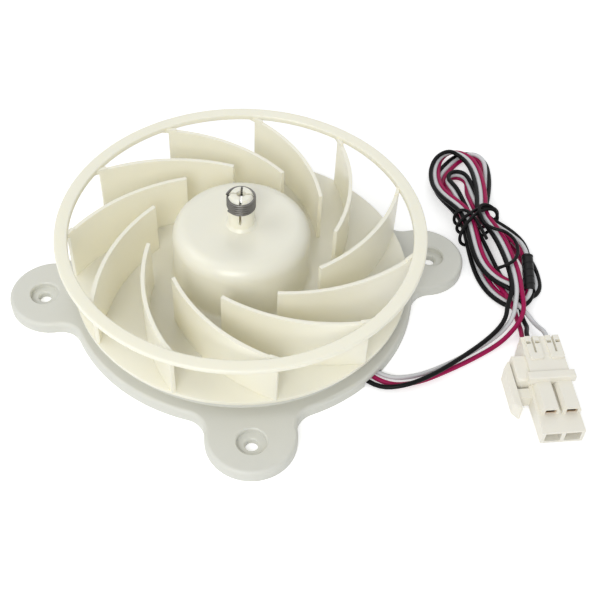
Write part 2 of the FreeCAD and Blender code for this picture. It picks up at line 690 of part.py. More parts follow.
def ear_holes(body):
    centres = [polar("size.hole_circle", "size.%s_ear_angle" % name) for name in ("right", "left", "front")]
    top = "size.flange_height"
    seats = circles(body, "seat_outline", "XY_Plane", centres, "size.seat_radius", top)
    pocket(body, "seats", seats, "size.seat_depth")
    holes = circles(body, "hole_outline", "XY_Plane", centres, "size.hole_radius", top)
    made = pocket(body, "holes", holes, "size.flange_height + 1")
    floor = number("size.flange_height - size.seat_depth")
    radii = {number("size.flange_height"): number("size.seat_radius"), floor: number("size.hole_radius")}

    def wanted(edge):
        for height, radius in radii.items():
            if level_edge(edge, height) and abs(edge.BoundBox.XLength - 2 * radius) < 1e-2:
                return True
        return False

    dress(body, "Chamfer", "hole_edges", made, pick_edges(made, wanted), "size.seat_chamfer")


# Bottom cover with the lower bearing cup and the board posts

def bottom_cover():
    body = new_body("bottom_cover")
    profile = outline(body, "cover_profile", "XZ_Plane", [
        ("0", "0"),
        ("size.cover_radius", "0"),
        ("size.cover_radius", "size.cover_thickness"),
        ("size.cup_radius", "size.cover_thickness"),
        ("size.cup_radius", "size.cup_top"),
        ("size.lower_bearing_radius", "size.cup_top"),
        ("size.lower_bearing_radius", "size.lower_seat"),
        ("size.shaft_radius + 0.4", "size.lower_seat"),
        ("size.shaft_radius + 0.4", "size.cup_floor"),
        ("0", "size.cup_floor")])
    turn(body, "Revolution", "cover", profile)
    posts = [polar("size.pot_radius", "size.post_start_angle + %d" % (120 * i)) for i in range(3)]
    marks = circles(body, "post_outline", "XY_Plane", posts, "size.post_radius")
    pad(body, "posts", marks, "size.plateau_height - size.plate_wall - size.board_thickness")
    centres = [polar("size.boss_circle", "size.boss_start_angle + %d" % (120 * i)) for i in range(3)]
    holes = circles(body, "screw_hole_outline", "XY_Plane", centres,
                    "size.pilot_radius + size.screw_gap", "size.cover_thickness")
    made = pocket(body, "screw_holes", holes, "size.cover_thickness + 1")
    radius = number("size.pilot_radius + size.screw_gap")
    edges = pick_edges(made, lambda edge: level_edge(edge, 0)
                       and abs(edge.BoundBox.XLength - 2 * radius) < 1e-2)
    depth = "size.screw_head_radius - size.pilot_radius"
    made = dress(body, "Chamfer", "countersinks", made, edges, depth)
    return body


def cover_screws():
    # countersunk screws, each head just below the cover's face
    members = []
    for i in range(3):
        x, y = polar("size.boss_circle", "size.boss_start_angle + %d" % (120 * i))
        head = cone("screw_head_%d" % i,
                    "size.screw_head_radius - size.screw_gap", "size.pilot_radius - 0.05",
                    "size.screw_head_height", x, y, "size.screw_recess")
        shank = cylinder("screw_shank_%d" % i, "size.pilot_radius - 0.05",
                         "size.pilot_top - size.screw_recess - 0.6", x, y, "size.screw_recess + 0.1")
        slot = box("screw_slot_%d" % i, "2.4", "0.5", "0.5", ("-1.2", "-0.25", "size.screw_recess - 0.1"),
                   spin="%d" % (20 + 75 * i), about=(x, y))
        members.append(cut("screw_%d" % i, join("screw_blank_%d" % i, [head, shank]), slot))
    return group("cover_screws", members)


# Bearings, shaft and rotor

def turned(name, corners, arcs=None):
    body = new_body(name)
    profile = outline(body, name + "_profile", "XZ_Plane", corners, arcs)
    turn(body, "Revolution", name + "_turned", profile)
    return body


def bush(name, radius, bottom):
    bore = "size.shaft_radius + size.running_gap"
    top = bottom + " + size.bearing_length"
    return turned(name, [
        (bore, bottom),
        (radius + " - 0.3", bottom),
        (radius, bottom + " + 0.3"),
        (radius, top + " - 0.3"),
        (radius + " - 0.3", top),
        (bore, top)])


def motor_shaft():
    radius = "size.shaft_radius"
    return turned("motor_shaft", [
        ("0", "size.shaft_bottom"),
        (radius + " - 0.3", "size.shaft_bottom"),
        (radius, "size.shaft_bottom + 0.3"),
        (radius, "size.shaft_top - 0.3"),
        (radius + " - 0.3", "size.shaft_top"),
        ("0", "size.shaft_top")])


def rotor_core():
    return turned("rotor_core", [
        ("size.shaft_radius", "size.collar_bottom"),
        ("size.collar_radius", "size.collar_bottom"),
        ("size.collar_radius", "size.rotor_bottom"),
        ("size.rotor_core_radius", "size.rotor_bottom"),
        ("size.rotor_core_radius", "size.rotor_top"),
        ("size.shaft_radius", "size.rotor_top")])


def rotor_magnet():
    return turned("rotor_magnet", [
        ("size.rotor_core_radius", "size.rotor_bottom"),
        ("size.magnet_radius", "size.rotor_bottom"),
        ("size.magnet_radius", "size.rotor_top"),
        ("size.rotor_core_radius", "size.rotor_top")])


def thrust_washers():
    members = []
    levels = {"upper": "size.rotor_top", "lower": "size.collar_bottom - size.washer_thickness"}
    for name, level in levels.items():
        ring = cylinder(name + "_washer_disc", "size.washer_radius", "size.washer_thickness", "0", "0", level)
        hole = cylinder(name + "_washer_hole", "size.shaft_radius + size.washer_gap",
                        "size.washer_thickness + 2", "0", "0", level + " - 1")
        members.append(cut(name + "_washer", ring, hole))
    return group("thrust_washers", members)


# Stator: laminated core, two coil formers, coils and pins

def spoked(name, ring_outer, ring_inner, spoke_width, shoe_width, bore, bottom, height):
    # a ring with inward spokes and shoes, bored out in the middle
    outer = cylinder(name + "_ring", ring_outer, height, "0", "0", bottom)
    inner = cylinder(name + "_ring_bore", ring_inner, height + " + 2", "0", "0", bottom + " - 1")
    members = [cut(name + "_yoke", outer, inner)]
    for i in range(int(number("size.tooth_count"))):
        spin = "%d * 360 / size.tooth_count" % i
        members.append(box("%s_spoke_%d" % (name, i),
                           ring_inner + " - size.stator_bore + 1.4", spoke_width, height,
                           ("size.stator_bore - 0.8", "-(%s) / 2" % spoke_width, bottom), spin=spin))
        members.append(box("%s_shoe_%d" % (name, i),
                           "size.shoe_radius - size.stator_bore + 1.4", shoe_width, height,
                           ("size.stator_bore - 1.4", "-(%s) / 2" % shoe_width, bottom), spin=spin))
    opening = cylinder(name + "_opening", bore, height + " + 2", "0", "0", bottom + " - 1")
    return cut(name, join(name + "_solid", members), opening)


def stator_core():
    outer = "size.pot_radius - size.pot_wall - size.core_gap"
    return spoked("stator_core", outer, "size.yoke_radius", "size.tooth_width", "size.shoe_width",
                  "size.stator_bore", "size.core_stop - size.core_length", "size.core_length")


def coil_former(name, bottom):
    width = "size.tooth_width + 2 * size.former_overlap"
    return spoked(name, "size.former_rim", "size.yoke_radius - 0.2", width, "size.shoe_width - 0.6",
                  "size.stator_bore + 0.2", bottom, "size.former_thickness")


def stator_coils():
    members = []
    inner_width = "size.tooth_width + 2 * size.former_overlap + 2 * size.coil_gap"
    inner_height = "size.core_length + 2 * size.former_thickness + 2 * size.coil_gap"
    low = "size.core_stop - size.core_length - size.former_thickness - size.coil_gap"
    depth = "size.coil_outer - size.coil_inner"
    for i in range(int(number("size.tooth_count"))):
        spin = "%d * 360 / size.tooth_count" % i
        block = box("coil_block_%d" % i, depth, inner_width + " + 2 * size.coil_build",
                    inner_height + " + 2 * size.coil_build",
                    ("size.coil_inner", "-(%s) / 2 - size.coil_build" % inner_width,
                     low + " - size.coil_build"),
                    spin=spin)
        window = box("coil_window_%d" % i, depth + " + 2", inner_width, inner_height,
                     ("size.coil_inner - 1", "-(%s) / 2" % inner_width, low), spin=spin)
        ring = cut("coil_ring_%d" % i, block, window)
        doc.recompute()
        soft = doc.addObject("Part::Fillet", "coil_%d" % i)
        soft.Base = ring
        middle = number("size.core_stop - size.core_length / 2")
        reach = number("size.core_length") / 2
        edges = [j + 1 for j, edge in enumerate(ring.Shape.Edges) if radial_outer(edge, middle, reach)]
        rounding = number("size.coil_rounding")
        soft.Edges = [(j, rounding, rounding) for j in edges]
        members.append(soft)
    return group("stator_coils", members)


def radial_outer(edge, middle, reach):
    # the four long corner edges on the outside of a coil
    level = edge.BoundBox.ZLength < 1e-3
    far = abs(edge.BoundBox.Center.z - middle) > reach + number("size.former_thickness + size.coil_build")
    direction = edge.Vertexes[-1].Point - edge.Vertexes[0].Point
    outward = FreeCAD.Vector(edge.BoundBox.Center.x, edge.BoundBox.Center.y, 0)
    along = abs(direction.dot(outward)) > 0.75 * direction.Length * outward.Length
    return level and far and along and direction.Length > 0.5 * number("size.coil_outer - size.coil_inner")


def coil_terminals():
    members = []
    top = "size.core_stop - size.core_length"
    for i in range(3):
        x, y = polar("size.pin_circle", "size.pin_start_angle + %d" % (120 * i))
        members.append(cylinder("coil_pin_%d" % i, "size.pin_radius", top + " - size.pin_bottom", x, y,
                                "size.pin_bottom"))
    return group("coil_terminals", members)


def drilled(name, blank, radius, height, bottom):
    tools = []
    for i in range(3):
        x, y = polar("size.pin_circle", "size.pin_start_angle + %d" % (120 * i))
        tools.append(cylinder("%s_pin_hole_%d" % (name, i), radius, height, x, y, bottom))
    blank.Label = name + " blank"
    return cut(name, blank, join(name + "_pin_holes", tools))


# Circuit board and what stands on it

def circuit_board():
    bottom = "size.board_top - size.board_thickness"
    disc = cylinder("board_disc", "size.board_radius", "size.board_thickness", "0", "0", bottom)
    hole = cylinder("board_middle", "size.board_hole_radius", "size.board_thickness + 2", "0", "0",
                    bottom + " - 1")
    ring = cut("board_ring", disc, hole)
    return drilled("circuit_board", ring, "size.pin_radius + 0.1", "size.board_thickness + 2",
                   bottom + " - 1")


def on_board(name, length, width, height, distance, angle):
    corner = ("%s - (%s) / 2" % (distance, length), "-(%s) / 2" % width, "size.board_top")
    made = box(name, length, width, height, corner, spin=angle)
    made.Label = name
    return made


def chip_resistors():
    members = []
    for i, angle in enumerate((60, 75, 135, 150, 250)):
        members.append(on_board("resistor_%d" % i, "size.resistor_length", "size.resistor_width",
                                "size.resistor_height", "size.resistor_distance", "%d" % angle))
    return group("chip_resistors", members)


def lead_header():
    height = "size.board_top - size.board_thickness - size.header_bottom"
    made = box("lead_header", "size.header_length", "size.header_width", height,
               ("size.header_end - size.header_length", "-size.header_width / 2", "size.header_bottom"),
               spin="size.lead_angle")
    return made


# Fan wheel: disc, hub, collet, eleven blades and the top ring in one moulding

def impeller():
    body = new_body("impeller")
    wheel = outline(body, "wheel_profile", "XZ_Plane", wheel_corners(), arcs={
        2: ("size.hub_foot_rounding", 1),
        4: ("size.hub_rounding", -1),
        17: ("size.hub_rounding - size.hub_wall", 1)})
    turn(body, "Revolution", "wheel", wheel)
    blade = outline(body, "blade_outline", "XY_Plane", blade_corners(), arcs={
        1: ("size.blade_arc - size.blade_thickness / 2", 1),
        3: ("size.blade_arc + size.blade_thickness / 2", -1)},
        lift="size.disc_bottom + size.disc_thickness / 2")
    first = pad(body, "blade", blade, "size.blade_top - size.disc_bottom - size.disc_thickness / 2")
    foot = outline(body, "foot_outline", "XY_Plane", foot_corners(),
                   lift="size.ring_bottom - size.foot_height")
    second = pad(body, "foot", foot, "size.foot_height + size.ring_thickness / 2")
    around(body, "blades", [first, second], blade, "size.blade_count")
    ring = outline(body, "ring_profile", "XZ_Plane", [
        ("size.ring_bore", "size.ring_bottom"),
        ("size.ring_radius", "size.ring_bottom"),
        ("size.ring_radius", "size.ring_bottom + size.ring_thickness"),
        ("size.ring_bore", "size.ring_bottom + size.ring_thickness")])
    made = turn(body, "Revolution", "ring", ring)
    top = number("size.ring_bottom + size.ring_thickness")
    outside = 2 * number("size.ring_radius")

    def rim_edge(edge):
        span = edge.BoundBox
        rounded = level_edge(edge, top) or level_edge(edge, number("size.ring_bottom"))
        wide = span.XLength > outside - 0.01 or (level_edge(edge, top) and span.XLength > outside - 10)
        return rounded and wide

    dress(body, "Fillet", "ring_edges", made, pick_edges(made, rim_edge), "size.ring_rounding")
    collet_slits(body)
    return body


def wheel_corners():
    bottom = "size.disc_bottom"
    top = "size.disc_bottom + size.disc_thickness"
    roof = "size.hub_top - size.hub_roof"
    inner = "size.hub_radius - size.hub_wall"
    bore = "size.shaft_radius + size.collet_gap"
    return [
        ("size.disc_radius", bottom),
        ("size.disc_radius", top),
        ("size.hub_radius + size.hub_foot_rounding", top),
        ("size.hub_radius", top + " + size.hub_foot_rounding"),
        ("size.hub_radius", "size.hub_top - size.hub_rounding"),
        ("size.hub_radius - size.hub_rounding", "size.hub_top"),
        ("size.stem_foot", "size.hub_top"),
        ("size.stem_radius", "size.hub_top + size.stem_foot - size.stem_radius"),
        ("size.stem_radius", "size.stem_seat"),
        ("size.neck_radius", "size.stem_seat"),
        ("size.neck_radius", "size.head_bottom"),
        ("size.head_radius", "size.head_bottom"),
        ("size.head_radius - 0.9", "size.head_top"),
        (bore, "size.head_top"),
        (bore, "size.stem_bottom"),
        ("size.stem_radius - 0.6", "size.stem_bottom"),
        ("size.stem_radius - 0.6", roof),
        (inner + " - size.hub_rounding + size.hub_wall", roof),
        (inner, roof + " - size.hub_rounding + size.hub_wall"),
        (inner, bottom)]


def blade_corners():
    half = "size.blade_thickness / 2"
    return [
        ("size.blade_out_x + size.out_normal_x * " + half, "size.blade_out_y + size.out_normal_y * " + half),
        ("size.blade_out_x - size.out_normal_x * " + half, "size.blade_out_y - size.out_normal_y * " + half),
        ("size.blade_in_x - size.in_normal_x * " + half, "size.blade_in_y - size.in_normal_y * " + half),
        ("size.blade_in_x + size.in_normal_x * " + half, "size.blade_in_y + size.in_normal_y * " + half)]


def foot_corners():
    # the blade's outer end carried on under the ring, along the blade's own direction there
    corners = []
    for run, side in (("size.foot_reach", 1), ("size.foot_reach", -1), ("-size.foot_inset", -1),
                      ("-size.foot_inset", 1)):
        x = "size.blade_out_x + size.out_normal_x * %d * size.blade_thickness / 2" % side
        y = "size.blade_out_y + size.out_normal_y * %d * size.blade_thickness / 2" % side
        corners.append((x + " - size.out_normal_y * (%s)" % run, y + " + size.out_normal_x * (%s)" % run))
    return corners


def collet_slits(body):
    for name, extra in (("first", 0), ("second", 90)):
        corners = strip_corners("-size.stem_foot", "size.stem_foot", "size.slit_width",
                                "size.slit_angle + %d" % extra)
        slit = outline(body, name + "_slit_outline", "XY_Plane", corners, lift="size.head_top + 1")
        pocket(body, name + "_slit", slit, "size.head_top + 1 - size.slit_bottom")


def spring_clamp():
    # the close turns as one turned sleeve with a ridge per turn
    count = int(number("size.spring_turns"))
    corners = []
    for i in range(count):
        level = "size.spring_bottom + %d * size.spring_wire" % i
        corners.append(("size.spring_outer - size.spring_groove", level))
        corners.append(("size.spring_outer", level + " + size.spring_wire / 2"))
    top = "size.spring_bottom + %d * size.spring_wire" % count
    corners.append(("size.spring_outer - size.spring_groove", top))
    corners.append(("size.spring_inner", top))
    corners.append(("size.spring_inner", "size.spring_bottom"))
    return turned("spring_clamp", corners)


# Leads, hank, tie and sleeve

def soft_route(name, points):
    # straight runs joined by tangent arcs, each arc as wide as its shorter run allows
    edges = []
    last = points[0]
    tightest = 1e9
    for i in range(1, len(points) - 1):
        before = points[i - 1] - points[i]
        after = points[i + 1] - points[i]
        reach = 0.45 * min(before.Length, after.Length)
        half_turn = (math.pi - before.getAngle(after)) / 2
        radius = reach / math.tan(half_turn)
        tightest = min(tightest, radius)
        before.normalize()
        after.normalize()
        start = points[i] + before * reach
        end = points[i] + after * reach
        bisector = before + after
        bisector.normalize()
        middle = points[i] + bisector * (radius / math.cos(half_turn) - radius)
        edges.append(Part.LineSegment(last, start).toShape())
        edges.append(Part.Arc(start, middle, end).toShape())
        last = end
    edges.append(Part.LineSegment(last, points[-1]).toShape())
    path = doc.addObject("Part::Feature", name + "_route")
    path.Shape = Part.Wire(edges)
    print("route", name, "length", round(path.Shape.Length, 1), "tightest radius", round(tightest, 1))
    return path


def cord(name, points, diameter):
    path = soft_route(name, points)
    section = doc.addObject("Part::Circle", name + "_section")
    section.setExpression("Radius", diameter + " / 2")
    heading = points[1] - points[0]
    turn_to = FreeCAD.Rotation(FreeCAD.Vector(0, 0, 1), heading)
    section.Placement = FreeCAD.Placement(points[0], turn_to)
    doc.recompute()
    made = doc.addObject("Part::Sweep", name)
    made.Sections = [section]
    made.Spine = (path, ["Edge%d" % (i + 1) for i in range(len(path.Shape.Edges))])
    made.Solid = True
    doc.recompute()
    area = math.pi * (number(diameter) / 2) ** 2
    share = made.Shape.Volume / (area * path.Shape.Length)
    if abs(share - 1) > 0.02:
        raise ValueError(name + " has the wrong volume")
    return made


def header_start(offset):
    # a lead inside the base: off the header and straight out through the skirt's gap
    angle = math.radians(number("size.lead_angle"))
    shift = offset * number("size.wire_spacing")
    points = []
    runs = ((number("size.header_end"), number("size.header_wire_level")),
            (38, number("size.header_wire_level")),
            (54.5, number("size.wire_level")))
    for distance, level in runs:
        x = distance * math.cos(angle) - shift * math.sin(angle)
        y = distance * math.sin(angle) + shift * math.cos(angle)
        points.append(FreeCAD.Vector(x, y, level))
    return points


# Plan points and heights of the leads from the rim to the hank's flat end
lead_points = {
    "lead_white": (1, [(44.6, -50.0, 0), (54.5, -50.3, 0), (65.0, -47.2, 0), (76.0, -42.6, 0),
                       (86.0, -37.6, 0.3), (91.9, -33.9, 2.2), (95.1, -30.1, 3.4), (96.7, None, 4.0)]),
    "lead_red": (0, [(43.6, -53.0, 0), (54.4, -53.2, 0), (65.8, -49.5, 0), (77.2, -45.0, 0),
                     (88.0, -39.9, 0.3), (95.0, -34.6, 2.3), (98.4, -30.4, 3.4), (100.0, None, 4.0)]),
    "lead_black": (-1, [(40.0, -53.6, 0), (49.6, -55.6, 2.4), (60.2, -52.0, 2.4), (71.0, -46.4, 2.4),
                        (81.2, -40.4, 2.4), (88.0, -35.6, 3.2), (91.8, -31.3, 4.0), (93.6, None, 4.4)]),
}

# Plan points and heights of the tails from the hank to the front of their connector bores
tail_points = {
    "tail_black": ((99.4, None, 1.25), (99.3, -29.4, 1.3), (98.8, -35.4, 3.2), "upper_left"),
    "tail_red": ((97.0, None, 1.25), (97.0, -29.4, 1.25), (96.7, -35.6, 1.6), "lower_left"),
    "tail_white": ((101.8, None, 1.25), (101.9, -29.4, 1.3), (102.4, -35.4, 3.2), "upper_right"),
}


def leads():
    made = {}
    floor = number("size.wire_level")
    end = number("size.hank_end - size.lead_end_gap")
    for name, (offset, points) in lead_points.items():
        route = header_start(offset)
        for x, y, rise in points:
            route.append(FreeCAD.Vector(x, end if y is None else y, floor + rise))
        made[name] = cord(name, route, "size.wire_diameter")
    return made


def plug_point(across, forward, level):
    # a point of the connector in the part's frame
    angle = math.radians(number("size.plug_turn"))
    x = across * math.cos(angle) + forward * math.sin(angle)
    y = across * math.sin(angle) - forward * math.cos(angle)
    return FreeCAD.Vector(x + number("size.plug_centre_across"), y + number("size.plug_centre_along"), level)


def bore_places():
    upper = number("size.upper_level")
    shift = number("size.tongue_shift")
    half = number("size.tongue_pitch") / 2
    return {
        "upper_left": (shift - half, upper),
        "upper_right": (shift + half, upper),
        "lower_left": (-number("size.socket_pitch") / 2, number("size.socket_level")),
    }


def tails():
    made = {}
    end = number("size.hank_end - size.tail_end_gap")
    depth = number("size.terminal_start")
    for name, (start, first_bend, second_bend, place) in tail_points.items():
        across, level = bore_places()[place]
        route = [FreeCAD.Vector(start[0], end, start[2]), FreeCAD.Vector(*first_bend),
                 FreeCAD.Vector(*second_bend)]
        route.append(plug_point(across, -4.2, level))
        route.append(plug_point(across, depth, level))
        made[name] = cord(name, route, "size.wire_diameter")
    return made


lower_lobe_points = [("91.2", "size.hank_end"), ("88", "size.hank_end + 5"), ("86.6", "-10.5"), ("87.2", "3"),
                     ("88.4", "size.lower_lobe_end"), ("100.2", "size.lower_lobe_end"), ("106.6", "9"),
                     ("111", "0.5"), ("109.5", "-12"), ("108", "size.hank_end + 4.5"),
                     ("104.6", "size.hank_end")]
upper_lobe_points = [("88.6", "size.upper_lobe_start"), ("83", "36.5"), ("83", "47"), ("88", "57.5"),
                     ("97.5", "62.6"), ("105.5", "61.6"), ("108.6", "56.5"), ("105.4", "38.6"),
                     ("100.2", "size.upper_lobe_start")]
sleeve_ends = [(109.0, -2.0), (104.4, -19.4)]


def lobe(body, name, corners):
    sketch = outline(body, name + "_outline", "XY_Plane", corners, lift="size.hank_bottom")
    return pad(body, name, sketch, "size.hank_top - size.hank_bottom")


def hank_blank():
    body = new_body("hank_blank")
    lobe(body, "lower_lobe", lower_lobe_points)
    waist = rectangle(body, "waist_outline", "XY_Plane", "size.waist_left", "size.waist_right",
                      "size.lower_lobe_end - 1", "size.upper_lobe_start + 1", lift="size.waist_bottom")
    pad(body, "waist", waist, "size.waist_top - size.waist_bottom")
    made = lobe(body, "upper_lobe", upper_lobe_points)
    tall = number("size.hank_top - size.hank_bottom") - 0.01
    waist_span = (number("size.lower_lobe_end") - 0.01, number("size.upper_lobe_start") + 0.01)

    def free_corner(edge):
        beside_waist = waist_span[0] < edge.BoundBox.YMin < waist_span[1]
        return upright_edge(edge) and edge.Length > tall and not beside_waist

    edges = pick_edges(made, free_corner)
    made = dress(body, "Fillet", "lobe_corners", made, edges, "size.lobe_corner")
    top = number("size.hank_top")
    def free_edge(edge):
        span = edge.BoundBox
        beside_waist = waist_span[0] < span.YMin and span.YMax < waist_span[1]
        return level_edge(edge, top) and not beside_waist

    dress(body, "Fillet", "lobe_edges", made, pick_edges(made, free_edge), "size.hank_rounding")
    return body


def sleeve_frame():
    start = FreeCAD.Vector(*sleeve_ends[0], number("size.sleeve_level"))
    end = FreeCAD.Vector(*sleeve_ends[1], number("size.sleeve_level"))
    along = end - start
    angle = math.degrees(math.atan2(along.y, along.x))
    return start, along.Length, angle


def lying_cylinder(name, radius, start, length, angle, before):
    # a round bar along the sleeve, begun a little before its start
    made = doc.addObject("Part::Cylinder", name)
    made.setExpression("Radius", radius)
    made.Height = length + 2 * before
    turn_to = FreeCAD.Rotation(FreeCAD.Vector(0, 0, 1), angle).multiply(
        FreeCAD.Rotation(FreeCAD.Vector(0, 1, 0), 90))
    back = FreeCAD.Vector(math.cos(math.radians(angle)), math.sin(math.radians(angle)), 0) * before
    made.Placement = FreeCAD.Placement(start - back, turn_to)
    return made


def wire_hank():
    blank = hank_blank()
    start, length, angle = sleeve_frame()
    clear = number("size.sleeve_clear")
    reach = number("size.sleeve_bore + size.sleeve_wall") + clear
    gap = doc.addObject("Part::Box", "sleeve_gap")
    gap.Length = length + 2 * clear
    gap.Width = reach + 12
    gap.setExpression("Height", "size.hank_top + 2")
    heading = FreeCAD.Vector(math.cos(math.radians(angle)), math.sin(math.radians(angle)), 0)
    aside = FreeCAD.Vector(-heading.y, heading.x, 0)
    corner = start - heading * clear - aside * reach
    corner.z = -1
    gap.Placement = FreeCAD.Placement(corner, FreeCAD.Rotation(FreeCAD.Vector(0, 0, 1), angle))
    strand = lying_cylinder("sleeve_strand", "size.sleeve_strand", start, length, angle, clear + 1.5)
    return join("wire_hank", [cut("hank_notched", blank, gap), strand])


def tape_sleeve():
    start, length, angle = sleeve_frame()
    outer = lying_cylinder("sleeve_outside", "size.sleeve_bore + size.sleeve_wall", start, length, angle, 0)
    inner = lying_cylinder("sleeve_inside", "size.sleeve_bore", start, length, angle, 1)
    return cut("tape_sleeve", outer, inner)


def hank_tie():
    body = new_body("hank_tie")
    left = "size.waist_left - size.tie_gap"
    right = "size.waist_right + size.tie_gap"
    low = "size.waist_bottom - size.tie_gap"
    high = "size.waist_top + size.tie_gap"
    sketch = rectangle(body, "tie_outline", "XZ_Plane", left + " - size.tie_wall", right + " + size.tie_wall",
                       low + " - size.tie_wall", high + " + size.tie_crown", lift="-size.tie_rear")
    made = pad(body, "tie_block", sketch, "size.tie_rear - size.tie_front")
    span = number("size.tie_rear - size.tie_front")
    edges = pick_edges(made, lambda edge: abs(edge.BoundBox.YLength - span) < 1e-3)
    dress(body, "Fillet", "tie_corners", made, edges, "size.tie_wall")
    window = rectangle(body, "tie_window", "XZ_Plane", left, right, low, high, lift="-size.tie_rear - 1")
    pocket(body, "tie_opening", window, "size.tie_rear - size.tie_front + 2", upwards=True)
    return body


tie_tail_points = [(95.7, 13.6), (98.6, 10.4), (103.0, 8.4), (105.4, 2.6), (104.2, -4.2), (99.6, -8.9),
                   (93.6, -10.2)]


def tie_tail():
    level = number("size.tie_tail_level")
    route = [FreeCAD.Vector(95.6, number("size.tie_front - size.tail_end_gap"), level)]
    route += [FreeCAD.Vector(x, y, level) for x, y in tie_tail_points]
    return cord("tie_tail", route, "size.tie_tail_diameter")


# Connector: housing and terminals in their own frame, forwards along -Y, then set in place

def set_plug(made):
    made.Placement.Rotation = FreeCAD.Rotation(FreeCAD.Vector(0, 0, 1), 1)
    made.setExpression("Placement.Rotation.Angle", "size.plug_turn * 1 deg")
    made.setExpression("Placement.Base.x", "size.plug_centre_across")
    made.setExpression("Placement.Base.y", "size.plug_centre_along")
    return made


def plug_block(body, name, left, right, start, end, low, high):
    # start and end count forwards from the rear end
    sketch = rectangle(body, name + "_outline", "XY_Plane", left, right, "-(%s)" % end, "-(%s)" % start,
                       lift=low)
    return pad(body, name, sketch, "(%s) - (%s)" % (high, low))


def plug_hole(body, name, centre, level, width, height, start, depth):
    # a straight cavity that runs forwards from start
    sketch = rectangle(body, name + "_outline", "XZ_Plane", "(%s) - (%s) / 2" % (centre, width),
                       "(%s) + (%s) / 2" % (centre, width), "(%s) - (%s) / 2" % (level, height),
                       "(%s) + (%s) / 2" % (level, height), lift=start)
    return pocket(body, name, sketch, depth, upwards=True)


def connector_housing():
    body = new_body("connector_housing")
    half_rear = "size.rear_width / 2"
    half_collar = "size.collar_width / 2"
    half_lower = "size.lower_width / 2"
    plug_block(body, "rear_block", "-" + half_rear, half_rear, "0", "size.collar_end - 0.6",
               "size.plug_bottom", "size.rear_top")
    plug_block(body, "lower_block", "-" + half_lower, half_lower, "size.collar_start - 3", "size.lower_end",
               "size.plug_bottom", "size.lower_top")
    plug_block(body, "front_collar", "-" + half_collar, half_collar, "size.collar_start", "size.collar_end",
               "size.collar_floor", "size.collar_top")
    plug_block(body, "cheek", "-size.cheek_left", "-%s + 0.5" % half_rear, "size.cheek_start",
               "size.cheek_end", "size.cheek_bottom", "size.cheek_top")
    plug_block(body, "latch_root", "-size.latch_right - 0.5", "-%s + 0.5" % half_lower,
               "size.latch_root_start", "size.latch_root_end", "0.8", "size.lower_top - 0.6")
    latch_arm(body)
    upper_tubes(body)
    made = plug_tongues(body)
    rounded_plug(body, made)
    plug_cavities(body)
    return set_plug(body)


def latch_arm(body):
    left = "-size.latch_left"
    right = "-size.latch_right"
    arm = outline(body, "latch_outline", "XY_Plane", [
        (left, "-size.latch_end + size.latch_nose"),
        (right + " - 0.6", "-size.latch_end"),
        (right, "-size.latch_end"),
        (right, "-size.latch_start"),
        (right + " - 0.6", "-size.latch_start"),
        (left, "-size.latch_start - size.latch_nose")], lift="size.plug_bottom")
    pad(body, "latch_arm", arm, "size.latch_top - size.plug_bottom")


def tube_centres():
    return ["size.tongue_shift - size.tongue_pitch / 2", "size.tongue_shift + size.tongue_pitch / 2"]


def upper_tubes(body):
    for i, centre in enumerate(tube_centres()):
        foot = "size.tube_foot / 2"
        crown = "size.tube_crown / 2"
        low = "size.lower_top - 0.5"
        bevel = "size.tube_top - (size.tube_foot - size.tube_crown) / 2 - 0.8"
        section = outline(body, "tube_section_%d" % i, "XZ_Plane", [
            ("%s - %s" % (centre, foot), low),
            ("%s + %s" % (centre, foot), low),
            ("%s + %s" % (centre, foot), bevel),
            ("%s + %s" % (centre, crown), "size.tube_top"),
            ("%s - %s" % (centre, crown), "size.tube_top"),
            ("%s - %s" % (centre, foot), bevel)], lift="size.collar_start")
        pad(body, "tube_%d" % i, section, "size.tube_end - size.collar_start")


def plug_tongues(body):
    made = None
    for i, centre in enumerate(tube_centres()):
        half = "size.tongue_width / 2"
        corner = "size.tongue_corner"
        front = "-size.tongue_length"
        sketch = outline(body, "tongue_outline_%d" % i, "XY_Plane", [
            ("%s - %s" % (centre, half), "-0.2"),
            ("%s - %s" % (centre, half), "%s + %s" % (front, corner)),
            ("%s - %s + %s" % (centre, half, corner), front),
            ("%s + %s - %s" % (centre, half, corner), front),
            ("%s + %s" % (centre, half), "%s + %s" % (front, corner)),
            ("%s + %s" % (centre, half), "-0.2")],
            arcs={1: (corner, -1), 3: (corner, -1)}, lift="size.rear_top - 0.5")
        made = pad(body, "tongue_%d" % i, sketch, "size.tongue_height + 0.5")
    return made


def rounded_plug(body, made):
    front = -number("size.cheek_end")
    side = -number("size.cheek_left")

    def cheek_corner(edge):
        span = edge.BoundBox
        return upright_edge(edge) and abs(span.YMin - front) < 1e-3 and abs(span.XMin - side) < 1e-3

    made = dress(body, "Fillet", "cheek_corner", made, pick_edges(made, cheek_corner), "size.cheek_corner")

    def soft(edge):
        collar = level_edge(edge, number("size.collar_top"))
        cheek = level_edge(edge, number("size.cheek_top")) and edge.BoundBox.XMin < side + 0.01
        return collar or cheek

    dress(body, "Fillet", "plug_edges", made, pick_edges(made, soft), "size.plug_rounding")


